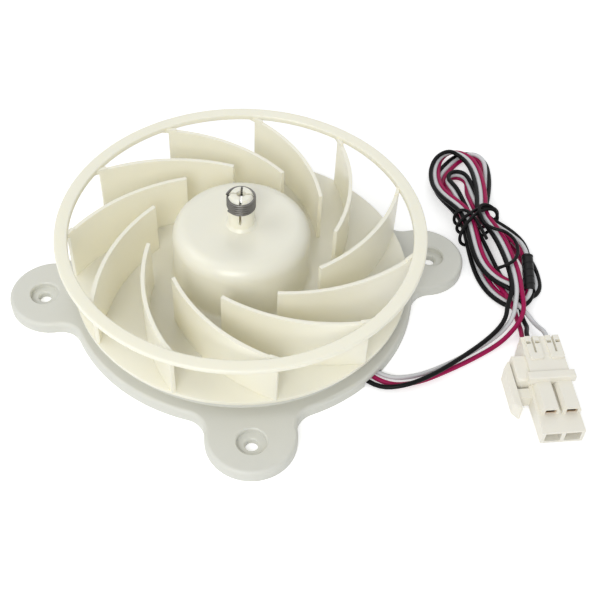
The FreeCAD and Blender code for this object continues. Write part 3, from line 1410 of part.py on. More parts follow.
def plug_cavities(body):
    wide = "size.terminal_width + 2 * size.cavity_gap"
    tall = "size.terminal_height + 2 * size.cavity_gap"
    bore = "size.wire_diameter / 2 + size.lead_bore_gap"
    left, right = tube_centres()
    lower = "-size.socket_pitch / 2"
    bores = circles(body, "lead_bores_outline", "XZ_Plane",
                    [(left, "size.upper_level"), (right, "size.upper_level"), (lower, "size.socket_level")],
                    bore, lift="-1")
    pocket(body, "lead_bores", bores, "size.terminal_start + 2", upwards=True)
    for name, centre in (("left", left), ("right", right)):
        plug_hole(body, name + "_cavity", centre, "size.upper_level", wide, tall, "size.terminal_start",
                  "size.tube_end - size.terminal_start + 1")
    plug_hole(body, "lower_cavity", lower, "size.socket_level", wide, tall, "size.terminal_start",
              "size.lower_end - size.terminal_start - 1")
    for name, sign in (("left", "-"), ("right", "")):
        plug_hole(body, name + "_socket", sign + "size.socket_pitch / 2", "size.socket_level",
                  "size.socket_width", "size.socket_height", "size.lower_end - size.socket_depth",
                  "size.socket_depth + 1")
    for i, centre in enumerate(tube_centres()):
        slit = rectangle(body, "tongue_slit_%d" % i, "XY_Plane", "%s - size.tongue_slit / 2" % centre,
                         "%s + size.tongue_slit / 2" % centre, "-size.slit_length", "1",
                         lift="size.rear_top + size.tongue_height + 1")
        pocket(body, "tongue_gap_%d" % i, slit, "1 + size.tongue_height + 0.6")
        for side, sign in (("a", "-"), ("b", "+")):
            middle = "%s %s size.tongue_width / 3.2" % (centre, sign)
            window = rectangle(body, "window_%s_%d" % (side, i), "XY_Plane",
                               "%s - size.window_width / 2" % middle, "%s + size.window_width / 2" % middle,
                               "-size.window_start - size.window_length", "-size.window_start",
                               lift="size.rear_top + size.tongue_height + 1")
            pocket(body, "catch_%s_%d" % (side, i), window, "1 + size.tongue_height + 0.8")


def connector_terminals():
    left, right = tube_centres()
    places = [("left", left, "size.upper_level", "size.upper_terminal_end"),
              ("right", right, "size.upper_level", "size.upper_terminal_end"),
              ("lower", "-size.socket_pitch / 2", "size.socket_level", "size.lower_terminal_end")]
    members = []
    for name, centre, level, end in places:
        corner = ("%s - size.terminal_width / 2" % centre, "-(%s)" % end,
                  level + " - size.terminal_height / 2")
        blank = box(name + "_terminal_blank", "size.terminal_width", end + " - size.terminal_start",
                    "size.terminal_height", corner)
        mouth = box(name + "_terminal_mouth", "size.terminal_width - 2 * size.terminal_wall",
                    "size.terminal_mouth + 1", "size.terminal_height - 2 * size.terminal_wall",
                    (corner[0] + " + size.terminal_wall", corner[1] + " - 1",
                     corner[2] + " + size.terminal_wall"))
        members.append(cut(name + "_terminal", blank, mouth))
    return set_plug(group("connector_terminals", members))


def build():
    nodes = {"base_plate": base_plate(), "bottom_cover": bottom_cover(), "cover_screws": cover_screws()}
    nodes["upper_bearing"] = bush("upper_bearing", "size.upper_bearing_radius",
                                  "size.housing_bottom")
    nodes["lower_bearing"] = bush("lower_bearing", "size.lower_bearing_radius", "size.lower_seat")
    nodes["motor_shaft"] = motor_shaft()
    nodes["rotor_core"] = rotor_core()
    nodes["rotor_magnet"] = rotor_magnet()
    nodes["thrust_washers"] = thrust_washers()
    nodes["stator_core"] = stator_core()
    nodes["coil_former_upper"] = coil_former("coil_former_upper", "size.core_stop")
    low = "size.core_stop - size.core_length - size.former_thickness"
    blank = coil_former("lower_former_blank", low)
    nodes["coil_former_lower"] = drilled("coil_former_lower", blank, "size.pin_radius",
                                         "size.former_thickness + 2", low + " - 1")
    nodes["stator_coils"] = stator_coils()
    nodes["coil_terminals"] = coil_terminals()
    nodes["circuit_board"] = circuit_board()
    nodes["driver_chip"] = on_board("driver_chip", "size.chip_width", "size.chip_length", "size.chip_height",
                                    "size.chip_distance", "size.chip_angle")
    nodes["position_sensor"] = on_board("position_sensor", "size.sensor_width", "size.sensor_length",
                                        "size.sensor_height", "size.sensor_distance", "size.sensor_angle")
    nodes["capacitor"] = on_board("capacitor", "size.capacitor_width", "size.capacitor_length",
                                  "size.capacitor_height", "size.capacitor_distance", "size.capacitor_angle")
    nodes["chip_resistors"] = chip_resistors()
    nodes["lead_header"] = lead_header()
    nodes["impeller"] = impeller()
    nodes["spring_clamp"] = spring_clamp()
    nodes.update(leads())
    nodes.update(tails())
    nodes["wire_hank"] = wire_hank()
    nodes["tape_sleeve"] = tape_sleeve()
    nodes["hank_tie"] = hank_tie()
    nodes["tie_tail"] = tie_tail()
    nodes["connector_housing"] = connector_housing()
    nodes["connector_terminals"] = connector_terminals()
    return nodes


def check_and_write(nodes):
    doc.recompute()
    for made in doc.Objects:
        if "Invalid" in made.State or "Error" in made.State:
            raise ValueError(made.Name + " is " + " ".join(made.State))
    for name, made in nodes.items():
        made.Label = name
        shape = made.Shape
        if shape.isNull() or not shape.isValid() or not shape.Solids:
            raise ValueError(name + " has no valid solid")
    for name, made in nodes.items():
        made.Shape.exportStep("parts/" + name + ".step")
        span = made.Shape.BoundBox
        print("%-20s solids %d volume %.1f z %.2f to %.2f" % (
            name, len(made.Shape.Solids), made.Shape.Volume, span.ZMin, span.ZMax))


check_and_write(build())
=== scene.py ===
import bpy
import math
import numpy as np
from mathutils import Matrix, Vector


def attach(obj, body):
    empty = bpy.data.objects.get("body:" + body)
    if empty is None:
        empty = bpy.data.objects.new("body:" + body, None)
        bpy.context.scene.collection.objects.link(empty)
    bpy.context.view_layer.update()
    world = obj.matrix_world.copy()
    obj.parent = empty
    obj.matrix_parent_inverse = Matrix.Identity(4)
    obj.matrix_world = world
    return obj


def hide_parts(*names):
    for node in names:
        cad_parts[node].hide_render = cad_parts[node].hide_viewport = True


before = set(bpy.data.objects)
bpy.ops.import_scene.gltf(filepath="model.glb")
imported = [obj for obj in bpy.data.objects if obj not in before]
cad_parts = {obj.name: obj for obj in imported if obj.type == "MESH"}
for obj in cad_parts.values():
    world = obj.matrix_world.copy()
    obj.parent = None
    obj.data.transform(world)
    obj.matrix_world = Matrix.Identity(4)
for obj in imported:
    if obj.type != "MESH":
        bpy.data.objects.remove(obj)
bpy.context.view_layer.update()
print("frame loaded", len(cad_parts), "nodes")

mm = 0.001  # metres in a millimetre

# camera: place and axes in the part's frame, and where its optical axis meets the 600 x 600 picture
viewer = {
    "place": (-32.4, -260.91, 286.42),       # mm
    "right": (0.98928, -0.14516, 0.01611),
    "down": (-0.1011, -0.76023, -0.64173),
    "ahead": (0.1054, 0.63322, -0.76676),
    "focalPixels": 1041.4,
    "axisPixel": (269.77, 335.27),
    "frameSide": 600.0,
    "sensor": 36.0,                          # mm
    "clip": (0.01, 20),                      # metres
}


def makeCamera(view):
    data = bpy.data.cameras.new("photoCamera")
    data.sensor_width = view["sensor"]
    data.lens = view["focalPixels"] / view["frameSide"] * view["sensor"]
    half = view["frameSide"] / 2
    data.shift_x = (half - view["axisPixel"][0]) / view["frameSide"]
    data.shift_y = (view["axisPixel"][1] - half) / view["frameSide"]
    data.clip_start, data.clip_end = view["clip"]
    camera = bpy.data.objects.new("photoCamera", data)
    up, back = [-c for c in view["down"]], [-c for c in view["ahead"]]
    turned = Matrix((view["right"], up, back)).transposed()
    camera.matrix_world = Matrix.Translation(Vector(view["place"]) * mm) @ turned.to_4x4()
    bpy.context.scene.collection.objects.link(camera)
    bpy.context.scene.camera = camera


# studio: a pale floor, a soft world and three area lamps
studio = {
    "white": (1, 1, 1, 1),
    "floorSide": 14.0,
    "floorColour": (0.90, 0.90, 0.895, 1),
    "floorRough": 0.9,
    "floorGleam": 0.1,
    "floorGlow": 0.42,       # added where it is seen, so that the lit floor is white and keeps the shadow
    "skyColour": (0.97, 0.985, 1.0, 1),
    "skyStrength": 0.54,
    "lampAim": (0.02, 0, 0.02),
    "lamps": [               # place, size, power in watts
        ((-0.30, -0.70, 0.56), 0.45, 3.6),
        ((-0.62, 0.10, 0.66), 0.50, 1.4),
        ((0.25, 0.62, 0.60), 0.50, 0.6),
    ],
}


def mapValue(nodes, links, source, low, high):
    spread = nodes.new("ShaderNodeMapRange")
    spread.inputs["To Min"].default_value = low
    spread.inputs["To Max"].default_value = high
    links.new(source, spread.inputs["Value"])
    return spread.outputs["Result"]


def seenDirectly(nodes, links):
    # 1 where a camera, glossy or transmission ray arrives
    path = nodes.new("ShaderNodeLightPath")
    seen = path.outputs["Is Camera Ray"]
    for kind in ("Is Glossy Ray", "Is Transmission Ray"):
        either = nodes.new("ShaderNodeMath")
        either.operation = "MAXIMUM"
        links.new(seen, either.inputs[0])
        links.new(path.outputs[kind], either.inputs[1])
        seen = either.outputs[0]
    return seen


def makeStudio(room):
    world = bpy.data.worlds.new("paleRoom")
    bpy.context.scene.world = world
    world.use_nodes = True
    nodes, links = world.node_tree.nodes, world.node_tree.links
    sky = nodes["Background"]
    sky.inputs["Color"].default_value = room["skyColour"]
    sky.inputs["Strength"].default_value = room["skyStrength"]
    white = nodes.new("ShaderNodeBackground")
    white.inputs["Color"].default_value = room["white"]
    white.inputs["Strength"].default_value = 1.0
    mix = nodes.new("ShaderNodeMixShader")
    links.new(seenDirectly(nodes, links), mix.inputs[0])
    links.new(sky.outputs[0], mix.inputs[1])
    links.new(white.outputs[0], mix.inputs[2])
    links.new(mix.outputs[0], nodes["World Output"].inputs["Surface"])
    half = room["floorSide"] / 2
    mesh = bpy.data.meshes.new("floor")
    corners = [(-half, -half, 0), (half, -half, 0), (half, half, 0), (-half, half, 0)]
    mesh.from_pydata(corners, [], [(0, 1, 2, 3)])
    floor = bpy.data.objects.new("floor", mesh)
    bpy.context.scene.collection.objects.link(floor)
    paper = bpy.data.materials.new("paleFloor")
    paper.use_nodes = True
    nodes, links = paper.node_tree.nodes, paper.node_tree.links
    shade = nodes["Principled BSDF"]
    shade.inputs["Base Color"].default_value = room["floorColour"]
    shade.inputs["Roughness"].default_value = room["floorRough"]
    shade.inputs["Specular IOR Level"].default_value = room["floorGleam"]
    shade.inputs["Emission Color"].default_value = room["white"]
    glow = mapValue(nodes, links, seenDirectly(nodes, links), 0.0, room["floorGlow"])
    links.new(glow, shade.inputs["Emission Strength"])
    mesh.materials.append(paper)
    for place, size, power in room["lamps"]:
        data = bpy.data.lights.new("softLamp", "AREA")
        data.size = size
        data.energy = power
        lamp = bpy.data.objects.new("softLamp", data)
        lamp.location = place
        aim = Vector(room["lampAim"]) - Vector(place)
        lamp.rotation_euler = aim.to_track_quat("-Z", "Y").to_euler()
        bpy.context.scene.collection.objects.link(lamp)
    bpy.context.scene.view_settings.view_transform = "Standard"


makeCamera(viewer)
makeStudio(studio)
print("camera and studio set")


# materials: a colour with soft mottling, uneven gloss and a fine moulded or drawn grain
finishBase = {  # what the finishes share
    "mottleDetail": 4,
    "grainDetail": 3,
    "bumpDistance": 0.0004,            # metres
    "metal": 0.0,
    "gleam": 0.5,
    "coat": 0.0,
    "coatRough": 0.15,
    "innerSpread": (1.0, 0.9, 0.7),    # of red, green and blue light inside a pale plastic
}
finishes = {
    "wheelIvory": dict(colour=(0.905, 0.87, 0.715), shift=0.02, patch=45, rough=0.32, uneven=0.06,
                       grain=900, bump=0.02, coat=0.18, inner=0.4, innerReach=0.005),
    "baseWhite": dict(colour=(0.68, 0.68, 0.62), shift=0.03, patch=35, rough=0.46, uneven=0.10,
                      grain=1400, bump=0.06, inner=0.12, innerReach=0.002),
    "coverGrey": dict(colour=(0.60, 0.61, 0.60), shift=0.05, patch=40, rough=0.55, uneven=0.08,
                      grain=1200, bump=0.08),
    "screwSteel": dict(colour=(0.60, 0.60, 0.61), shift=0.06, patch=300, rough=0.34, uneven=0.12,
                       grain=2500, bump=0.05, metal=1.0),
    "shaftSteel": dict(colour=(0.70, 0.70, 0.71), shift=0.04, patch=260, rough=0.22, uneven=0.10,
                       grain=3000, bump=0.03, metal=1.0),
    "springSteel": dict(colour=(0.17, 0.165, 0.155), shift=0.12, patch=500, rough=0.33, uneven=0.15,
                        grain=2600, bump=0.05, metal=1.0),
    "bronze": dict(colour=(0.60, 0.44, 0.26), shift=0.08, patch=400, rough=0.45, uneven=0.1, grain=2200,
                   bump=0.08, metal=1.0),
    "magnetDark": dict(colour=(0.075, 0.075, 0.08), shift=0.15, patch=300, rough=0.6, uneven=0.1,
                       grain=2000, bump=0.1),
    "bushDark": dict(colour=(0.2, 0.2, 0.21), shift=0.1, patch=200, rough=0.5, uneven=0.1, grain=1800,
                     bump=0.08),
    "nylon": dict(colour=(0.82, 0.80, 0.73), shift=0.04, patch=120, rough=0.45, uneven=0.08, grain=1500,
                  bump=0.05, inner=0.1, innerReach=0.001),
    "coreSteel": dict(colour=(0.42, 0.43, 0.45), shift=0.12, patch=150, rough=0.42, uneven=0.15,
                      grain=900, bump=0.1, metal=1.0, layers=2000),
    "copper": dict(colour=(0.60, 0.28, 0.12), shift=0.1, patch=300, rough=0.32, uneven=0.1, grain=900,
                   bump=0.15, metal=0.85, coat=0.4, layers=2500),
    "tin": dict(colour=(0.72, 0.71, 0.68), shift=0.08, patch=500, rough=0.3, uneven=0.1, grain=2500,
                bump=0.04, metal=1.0),
    "boardGreen": dict(colour=(0.06, 0.24, 0.12), shift=0.15, patch=180, rough=0.32, uneven=0.08,
                       grain=1300, bump=0.05, coat=0.4),
    "chipBlack": dict(colour=(0.04, 0.04, 0.045), shift=0.15, patch=400, rough=0.5, uneven=0.1,
                      grain=2500, bump=0.08),
    "capacitorTan": dict(colour=(0.52, 0.40, 0.27), shift=0.08, patch=400, rough=0.45, uneven=0.1,
                         grain=2000, bump=0.06),
    "leadBlack": dict(colour=(0.004, 0.004, 0.0045), shift=0.2, patch=250, rough=0.36, uneven=0.12,
                      grain=1500, bump=0.05, gleam=0.12),
    "leadWhite": dict(colour=(0.64, 0.645, 0.655), shift=0.05, patch=250, rough=0.40, uneven=0.1,
                      grain=1500, bump=0.05, inner=0.08, innerReach=0.0006),
    "leadRed": dict(colour=(0.34, 0.004, 0.075), shift=0.12, patch=250, rough=0.40, uneven=0.12,
                    grain=1500, bump=0.05, gleam=0.2),
    "tapeBlack": dict(colour=(0.006, 0.006, 0.0065), shift=0.2, patch=300, rough=0.36, uneven=0.15,
                      grain=900, bump=0.12, gleam=0.15),
    "tieBlack": dict(colour=(0.004, 0.004, 0.0045), shift=0.2, patch=300, rough=0.34, uneven=0.12,
                     grain=1500, bump=0.05, gleam=0.12),
    "connectorCream": dict(colour=(0.86, 0.83, 0.735), shift=0.035, patch=90, rough=0.34, uneven=0.1,
                           grain=1500, bump=0.05, inner=0.15, innerReach=0.001),
    "terminalTin": dict(colour=(0.66, 0.50, 0.36), shift=0.1, patch=400, rough=0.3, uneven=0.1,
                        grain=2000, bump=0.05, metal=1.0),
}


def makeFinish(name, given):
    look = {**finishBase, **given}
    made = bpy.data.materials.new(name)
    made.use_nodes = True
    nodes, links = made.node_tree.nodes, made.node_tree.links
    shade = nodes["Principled BSDF"]
    place = nodes.new("ShaderNodeTexCoord").outputs["Object"]
    mottle = nodes.new("ShaderNodeTexNoise")
    mottle.inputs["Scale"].default_value = look["patch"]
    mottle.inputs["Detail"].default_value = look["mottleDetail"]
    links.new(place, mottle.inputs["Vector"])
    mix = nodes.new("ShaderNodeMix")
    mix.data_type = "RGBA"
    mix.inputs["A"].default_value = (*[c * (1 - look["shift"]) for c in look["colour"]], 1)
    mix.inputs["B"].default_value = (*[min(1, c * (1 + look["shift"])) for c in look["colour"]], 1)
    links.new(mottle.outputs["Fac"], mix.inputs["Factor"])
    links.new(mix.outputs["Result"], shade.inputs["Base Color"])
    smoothest, roughest = look["rough"] - look["uneven"] / 2, look["rough"] + look["uneven"] / 2
    gloss = mapValue(nodes, links, mottle.outputs["Fac"], smoothest, roughest)
    links.new(gloss, shade.inputs["Roughness"])
    grain = nodes.new("ShaderNodeTexNoise")
    grain.inputs["Scale"].default_value = look["grain"]
    grain.inputs["Detail"].default_value = look["grainDetail"]
    links.new(place, grain.inputs["Vector"])
    height = grain.outputs["Fac"]
    if "layers" in look:  # stacked sheets or wound wire, one above another
        bands = nodes.new("ShaderNodeTexWave")
        bands.bands_direction = "Z"
        bands.inputs["Scale"].default_value = look["layers"] / (2 * math.pi)
        links.new(place, bands.inputs["Vector"])
        height = bands.outputs["Fac"]
    bump = nodes.new("ShaderNodeBump")
    bump.inputs["Strength"].default_value = look["bump"]
    bump.inputs["Distance"].default_value = look["bumpDistance"]
    links.new(height, bump.inputs["Height"])
    links.new(bump.outputs["Normal"], shade.inputs["Normal"])
    shade.inputs["Metallic"].default_value = look["metal"]
    shade.inputs["Specular IOR Level"].default_value = look["gleam"]
    shade.inputs["Coat Weight"].default_value = look["coat"]
    shade.inputs["Coat Roughness"].default_value = look["coatRough"]
    if "inner" in look:  # light that spreads inside a pale plastic
        shade.inputs["Subsurface Weight"].default_value = look["inner"]
        shade.inputs["Subsurface Radius"].default_value = look["innerSpread"]
        shade.inputs["Subsurface Scale"].default_value = look["innerReach"]
    return made


finish = {name: makeFinish(name, values) for name, values in finishes.items()}

nodeFinish = {
    "base_plate": "baseWhite", "bottom_cover": "coverGrey", "cover_screws": "screwSteel",
    "upper_bearing": "bronze", "lower_bearing": "bronze", "motor_shaft": "shaftSteel",
    "rotor_core": "bushDark", "rotor_magnet": "magnetDark", "thrust_washers": "nylon",
    "stator_core": "coreSteel", "coil_former_upper": "nylon", "coil_former_lower": "nylon",
    "stator_coils": "copper", "coil_terminals": "tin", "circuit_board": "boardGreen",
    "driver_chip": "chipBlack", "position_sensor": "chipBlack", "capacitor": "capacitorTan",
    "chip_resistors": "chipBlack", "lead_header": "nylon", "impeller": "wheelIvory",
    "spring_clamp": "springSteel", "connector_housing": "connectorCream",
    "connector_terminals": "terminalTin",
}
for name, look in nodeFinish.items():
    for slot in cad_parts[name].material_slots:
        slot.material = finish[look]
print("materials made", len(finish))


# wires: three leads from the header on the board, through the hank, to the connector; all lengths in mm
wires = {
    "thickness": 1.7,
    "level": 1.0,            # centre of a wire that lies on the floor
    "headerLevel": 2.3,
    "headerAngle": -51,      # azimuth at which they leave the base
    "headerRuns": (24.5, 38, 54.5),
    "spacing": 2.2,
    "plugPlace": (98.3, -45.4),
    "plugTurn": -3.4,
    "plugRun": (-4.2, 4.0),  # the wire runs straight from behind the connector into its bore
}
# how every cord is drawn
cordShape = {
    "order": 3,
    "steps": 5,              # along the line, for each control point
    "roundness": 4,
}
# plan points and rises of the leads, from the rim to the hank
leadPoints = {
    "white": (1, [(44.6, -50.0, 0), (54.5, -50.3, 0), (65.0, -47.2, 0), (76.0, -42.6, 0),
                  (86.0, -37.6, 0.3), (91.9, -33.9, 2.2), (95.1, -30.1, 3.4), (96.7, -26.4, 4.0)]),
    "red": (0, [(43.6, -53.0, 0), (54.4, -53.2, 0), (65.8, -49.5, 0), (77.2, -45.0, 0),
                (88.0, -39.9, 0.3), (95.0, -34.6, 2.3), (98.4, -30.4, 3.4), (100.0, -26.4, 4.0)]),
    "black": (-1, [(40.0, -53.6, 0), (49.6, -55.6, 2.4), (60.2, -52.0, 2.4), (71.0, -46.4, 2.4),
                   (81.2, -40.4, 2.4), (88.0, -35.6, 3.2), (91.8, -31.3, 4.0), (93.6, -26.4, 4.4)]),
}
# the hank: the row of three wires, with its middle at x, y, z, its roll in degrees, and its spread
# (1: side by side, 0.5: in a triangle)
hankPoints = [
    # up over the lower loops to the tie
    (98.9, -20.6, 6.3, 0, 1), (100.2, -14.0, 6.4, 0, 1), (100.9, -7.0, 6.1, 0, 1), (101.0, 0.2, 5.9, 0, 1),
    (100.5, 7.4, 5.9, 0, 1), (99.2, 13.8, 5.9, 0, 1), (97.7, 19.4, 5.9, 0, 1), (98.1, 24.8, 5.9, 0, 1),
    # large upper loop, where the row rolls over
    (99.9, 30.8, 5.8, 0, 1), (101.4, 38.0, 5.3, 0, 1), (102.4, 45.2, 4.5, 0, 1), (102.7, 51.4, 3.6, 0, 1),
    (101.9, 56.6, 3.2, 0, 1), (99.2, 60.2, 3.3, -15, 1), (95.4, 61.4, 3.7, -50, 1),
    (91.7, 59.8, 3.3, -90, 1), (88.5, 56.2, 3.3, -130, 1), (86.1, 50.8, 3.2, -165, 1),
    (85.0, 44.8, 3.2, -180, 1), (85.1, 39.0, 3.9, -180, 1), (86.6, 33.4, 4.9, -180, 1),
    (89.0, 28.4, 5.6, -180, 1), (91.1, 23.4, 5.9, -180, 1), (91.4, 18.0, 5.9, -180, 1),
    # inner lower loop, under the leads and round under the sleeve
    (90.9, 11.4, 5.8, -180, 1), (90.3, 4.4, 5.4, -180, 1), (90.5, -2.4, 4.6, -180, 1),
    (92.4, -8.4, 4.1, -180, 1), (95.2, -12.8, 4.1, -180, 1), (98.3, -15.9, 4.3, -180, 0.95),
    (101.1, -18.1, 2.6, -180, 0.85), (103.9, -18.9, 1.3, -180, 0.96), (106.8, -17.8, 1.0, -180, 0.95),
    (108.7, -15.4, 1.0, -180, 0.9), (109.5, -11.8, 1.0, -180, 0.95), (109.9, -5.8, 1.0, -180, 1),
    (109.1, 1.6, 1.0, -180, 1), (107.0, 8.0, 1.5, -180, 1), (103.6, 14.0, 2.2, -180, 1),
    (99.4, 19.2, 2.4, -180, 1), (98.6, 25.0, 2.4, -180, 1),
    # right upper loop, which turns in under the large one
    (101.2, 31.0, 2.1, -180, 1), (104.2, 38.2, 1.5, -180, 1), (106.6, 45.4, 1.0, -180, 1),
    (108.0, 51.0, 1.0, -180, 0.8), (108.5, 55.0, 1.0, -180, 0.6), (107.5, 58.6, 1.0, -180, 0.6),
    (104.7, 60.8, 1.0, -180, 0.7), (101.0, 60.8, 1.0, -180, 1), (97.2, 58.6, 1.0, -180, 1),
    (93.2, 55.0, 1.0, -180, 1), (89.5, 51.2, 1.0, -180, 1), (87.0, 46.6, 1.0, -180, 1),
    (86.2, 41.2, 1.1, -180, 1), (87.3, 35.6, 1.7, -180, 1), (89.2, 30.0, 2.4, -180, 1),
    (91.1, 24.2, 2.4, -180, 1), (91.4, 18.0, 2.4, -180, 1),
    # outer lower loop, up into the tape sleeve
    (90.8, 11.2, 2.2, -180, 1), (90.2, 4.2, 1.4, -180, 1), (89.9, -3.0, 1.0, -180, 1),
    (90.3, -9.8, 1.0, -180, 1), (92.0, -15.8, 1.0, -180, 1), (95.0, -20.2, 1.0, -180, 1),
    (97.8, -22.2, 1.0, -180, 1), (100.8, -22.8, 1.4, -180, 0.92), (103.3, -21.8, 2.6, -180, 0.65),
    (104.9, -19.3, 3.2, -180, 0.5), (105.5, -15.9, 3.2, -180, 0.5), (106.4, -11.8, 3.2, -180, 0.5),
    (107.7, -7.0, 3.2, -180, 0.5),
    (108.9, -2.0, 3.2, -180, 0.5), (108.8, 3.8, 3.9, -180, 0.8), (106.4, 9.8, 4.1, -180, 1),
    (102.6, 15.2, 4.1, -180, 1), (98.8, 19.8, 4.1, -180, 1), (97.6, 25.4, 4.1, -180, 1),
    # small upper loop, its row on edge at the crest
    (97.5, 31.4, 3.7, -180, 1), (97.7, 36.8, 3.0, -150, 1), (98.0, 41.0, 2.9, -110, 1),
    (98.2, 44.4, 2.9, -90, 1), (97.0, 47.1, 2.9, -90, 1), (94.1, 48.3, 2.9, -90, 1),
    (91.2, 47.1, 2.9, -90, 1), (89.9, 44.3, 2.9, -85, 1), (90.0, 41.0, 3.7, -70, 1),
    (90.4, 37.2, 4.4, -40, 1), (90.9, 32.6, 4.2, -15, 1), (91.5, 26.6, 4.1, 0, 1), (91.8, 20.2, 4.1, 0, 1),
    # down inside the left loops to the tails
    (92.5, 12.8, 3.9, 0, 1), (93.6, 5.2, 3.2, 0, 1), (94.6, -2.4, 2.1, 0, 1), (95.5, -9.0, 1.4, 0, 1),
    (96.8, -14.0, 2.0, 0, 1), (97.2, -17.6, 2.0, 25, 1), (97.7, -20.8, 3.2, 8, 1),
]
# tails: points from the hank on, then their bore in the connector (across, height)
tailPoints = {
    "black": ([(99.5, -24.6, 3.1), (99.4, -27.4, 1.2), (99.2, -31.0, 1.2), (98.6, -36.0, 3.4)],
              (-3.0, 7.0)),
    "red": ([(97.0, -26.05, 2.25), (97.0, -29.4, 1.25), (96.7, -35.6, 1.6)],
            (-3.35, 3.1)),
    "white": ([(98.1, -24.8, 3.8), (100.2, -28.0, 3.4), (102.0, -31.4, 1.8), (102.5, -36.4, 3.6)],
              (4.2, 7.0)),  # crosses over black
}
wireOrder = {"black": 1, "white": 0, "red": -1}  # place of each wire across the row


def leadStart(offset):
    # off the header and straight out through the gap in the skirt
    angle = math.radians(wires["headerAngle"])
    ahead, beside = math.cos(angle), math.sin(angle)
    shift = offset * wires["spacing"]
    levels = (wires["headerLevel"], wires["headerLevel"], wires["level"])
    return [(run * ahead - shift * beside, run * beside + shift * ahead, z)
            for run, z in zip(wires["headerRuns"], levels)]


def plugPoint(across, forward, z):
    # a point counted from the middle of the connector's rear end
    angle = math.radians(wires["plugTurn"])
    x = across * math.cos(angle) + forward * math.sin(angle)
    y = across * math.sin(angle) - forward * math.cos(angle)
    return (x + wires["plugPlace"][0], y + wires["plugPlace"][1], z)


def hankRoute(order):
    # the row's middle, moved across the row by the wire's place in it; the middle wire rises as the row
    # closes up to a triangle
    middle = np.array(hankPoints, dtype=float)
    place, roll, spread = middle[:, :3], np.radians(middle[:, 3]), middle[:, 4]
    ahead = np.gradient(place[:, :2], axis=0)
    ahead /= np.linalg.norm(ahead, axis=1)[:, None]
    outward = np.stack([ahead[:, 1], -ahead[:, 0], 0 * roll], axis=1)
    upward = np.array([0.0, 0.0, 1.0])
    across = np.cos(roll)[:, None] * outward + np.sin(roll)[:, None] * upward
    side = -order * spread * wires["thickness"]
    rise = (1 - abs(order)) * np.sqrt(1 - spread ** 2) * wires["thickness"]
    moved = place + across * side[:, None] + upward * rise[:, None]
    moved[:, 2] = np.maximum(moved[:, 2], wires["level"])
    return [tuple(p) for p in moved]


def wireRoute(name):
    offset, lead = leadPoints[name]
    tail, (across, height) = tailPoints[name]
    route = leadStart(offset) + [(x, y, wires["level"] + rise) for x, y, rise in lead]
    route += hankRoute(wireOrder[name]) + tail
    return route + [plugPoint(across, forward, height) for forward in wires["plugRun"]]


def cordCurve(name, points, thickness, look):
    # one smooth NURBS line, led by its control points, with a round section
    data = bpy.data.curves.new(name, "CURVE")
    data.dimensions = "3D"
    data.bevel_depth = thickness / 2 * mm
    data.bevel_resolution = cordShape["roundness"]
    data.resolution_u = cordShape["steps"]
    data.use_fill_caps = True
    spline = data.splines.new("NURBS")
    spline.points.add(len(points) - 1)
    flat = np.ones((len(points), 4))
    flat[:, :3] = np.array(points) * mm
    spline.points.foreach_set("co", flat.ravel())
    spline.order_u = cordShape["order"]
    spline.use_endpoint_u = True
    data.materials.append(finish[look])
    made = bpy.data.objects.new(name, data)
    bpy.context.scene.collection.objects.link(made)
    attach(made, "base")
    return made


def lineLength(curve):
    # length of the drawn line itself, from a copy with no section, in metres
    data = curve.data.copy()
    data.bevel_depth = 0
    probe = bpy.data.objects.new("probe", data)
    mesh = bpy.data.meshes.new_from_object(probe)
    points = np.empty(len(mesh.vertices) * 3)
    mesh.vertices.foreach_get("co", points)
    points = points.reshape(-1, 3)
    bpy.data.objects.remove(probe)
    return float(np.linalg.norm(np.diff(points, axis=0), axis=1).sum())


wireCurves = {}
for name in ("white", "red", "black"):
    route = wireRoute(name)
    wireCurves[name] = cordCurve(name + "_wire", route, wires["thickness"], "lead" + name.capitalize())
    print("wire", name, "length", round(lineLength(wireCurves[name]), 3))
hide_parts("lead_white", "tail_white", "wire_hank")
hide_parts("lead_red", "tail_red")
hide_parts("lead_black", "tail_black")
for name, curve in wireCurves.items():
    tuple(c * mm for c in wireRoute(name)[0])
    round(lineLength(curve), 3)
print("wires laid")

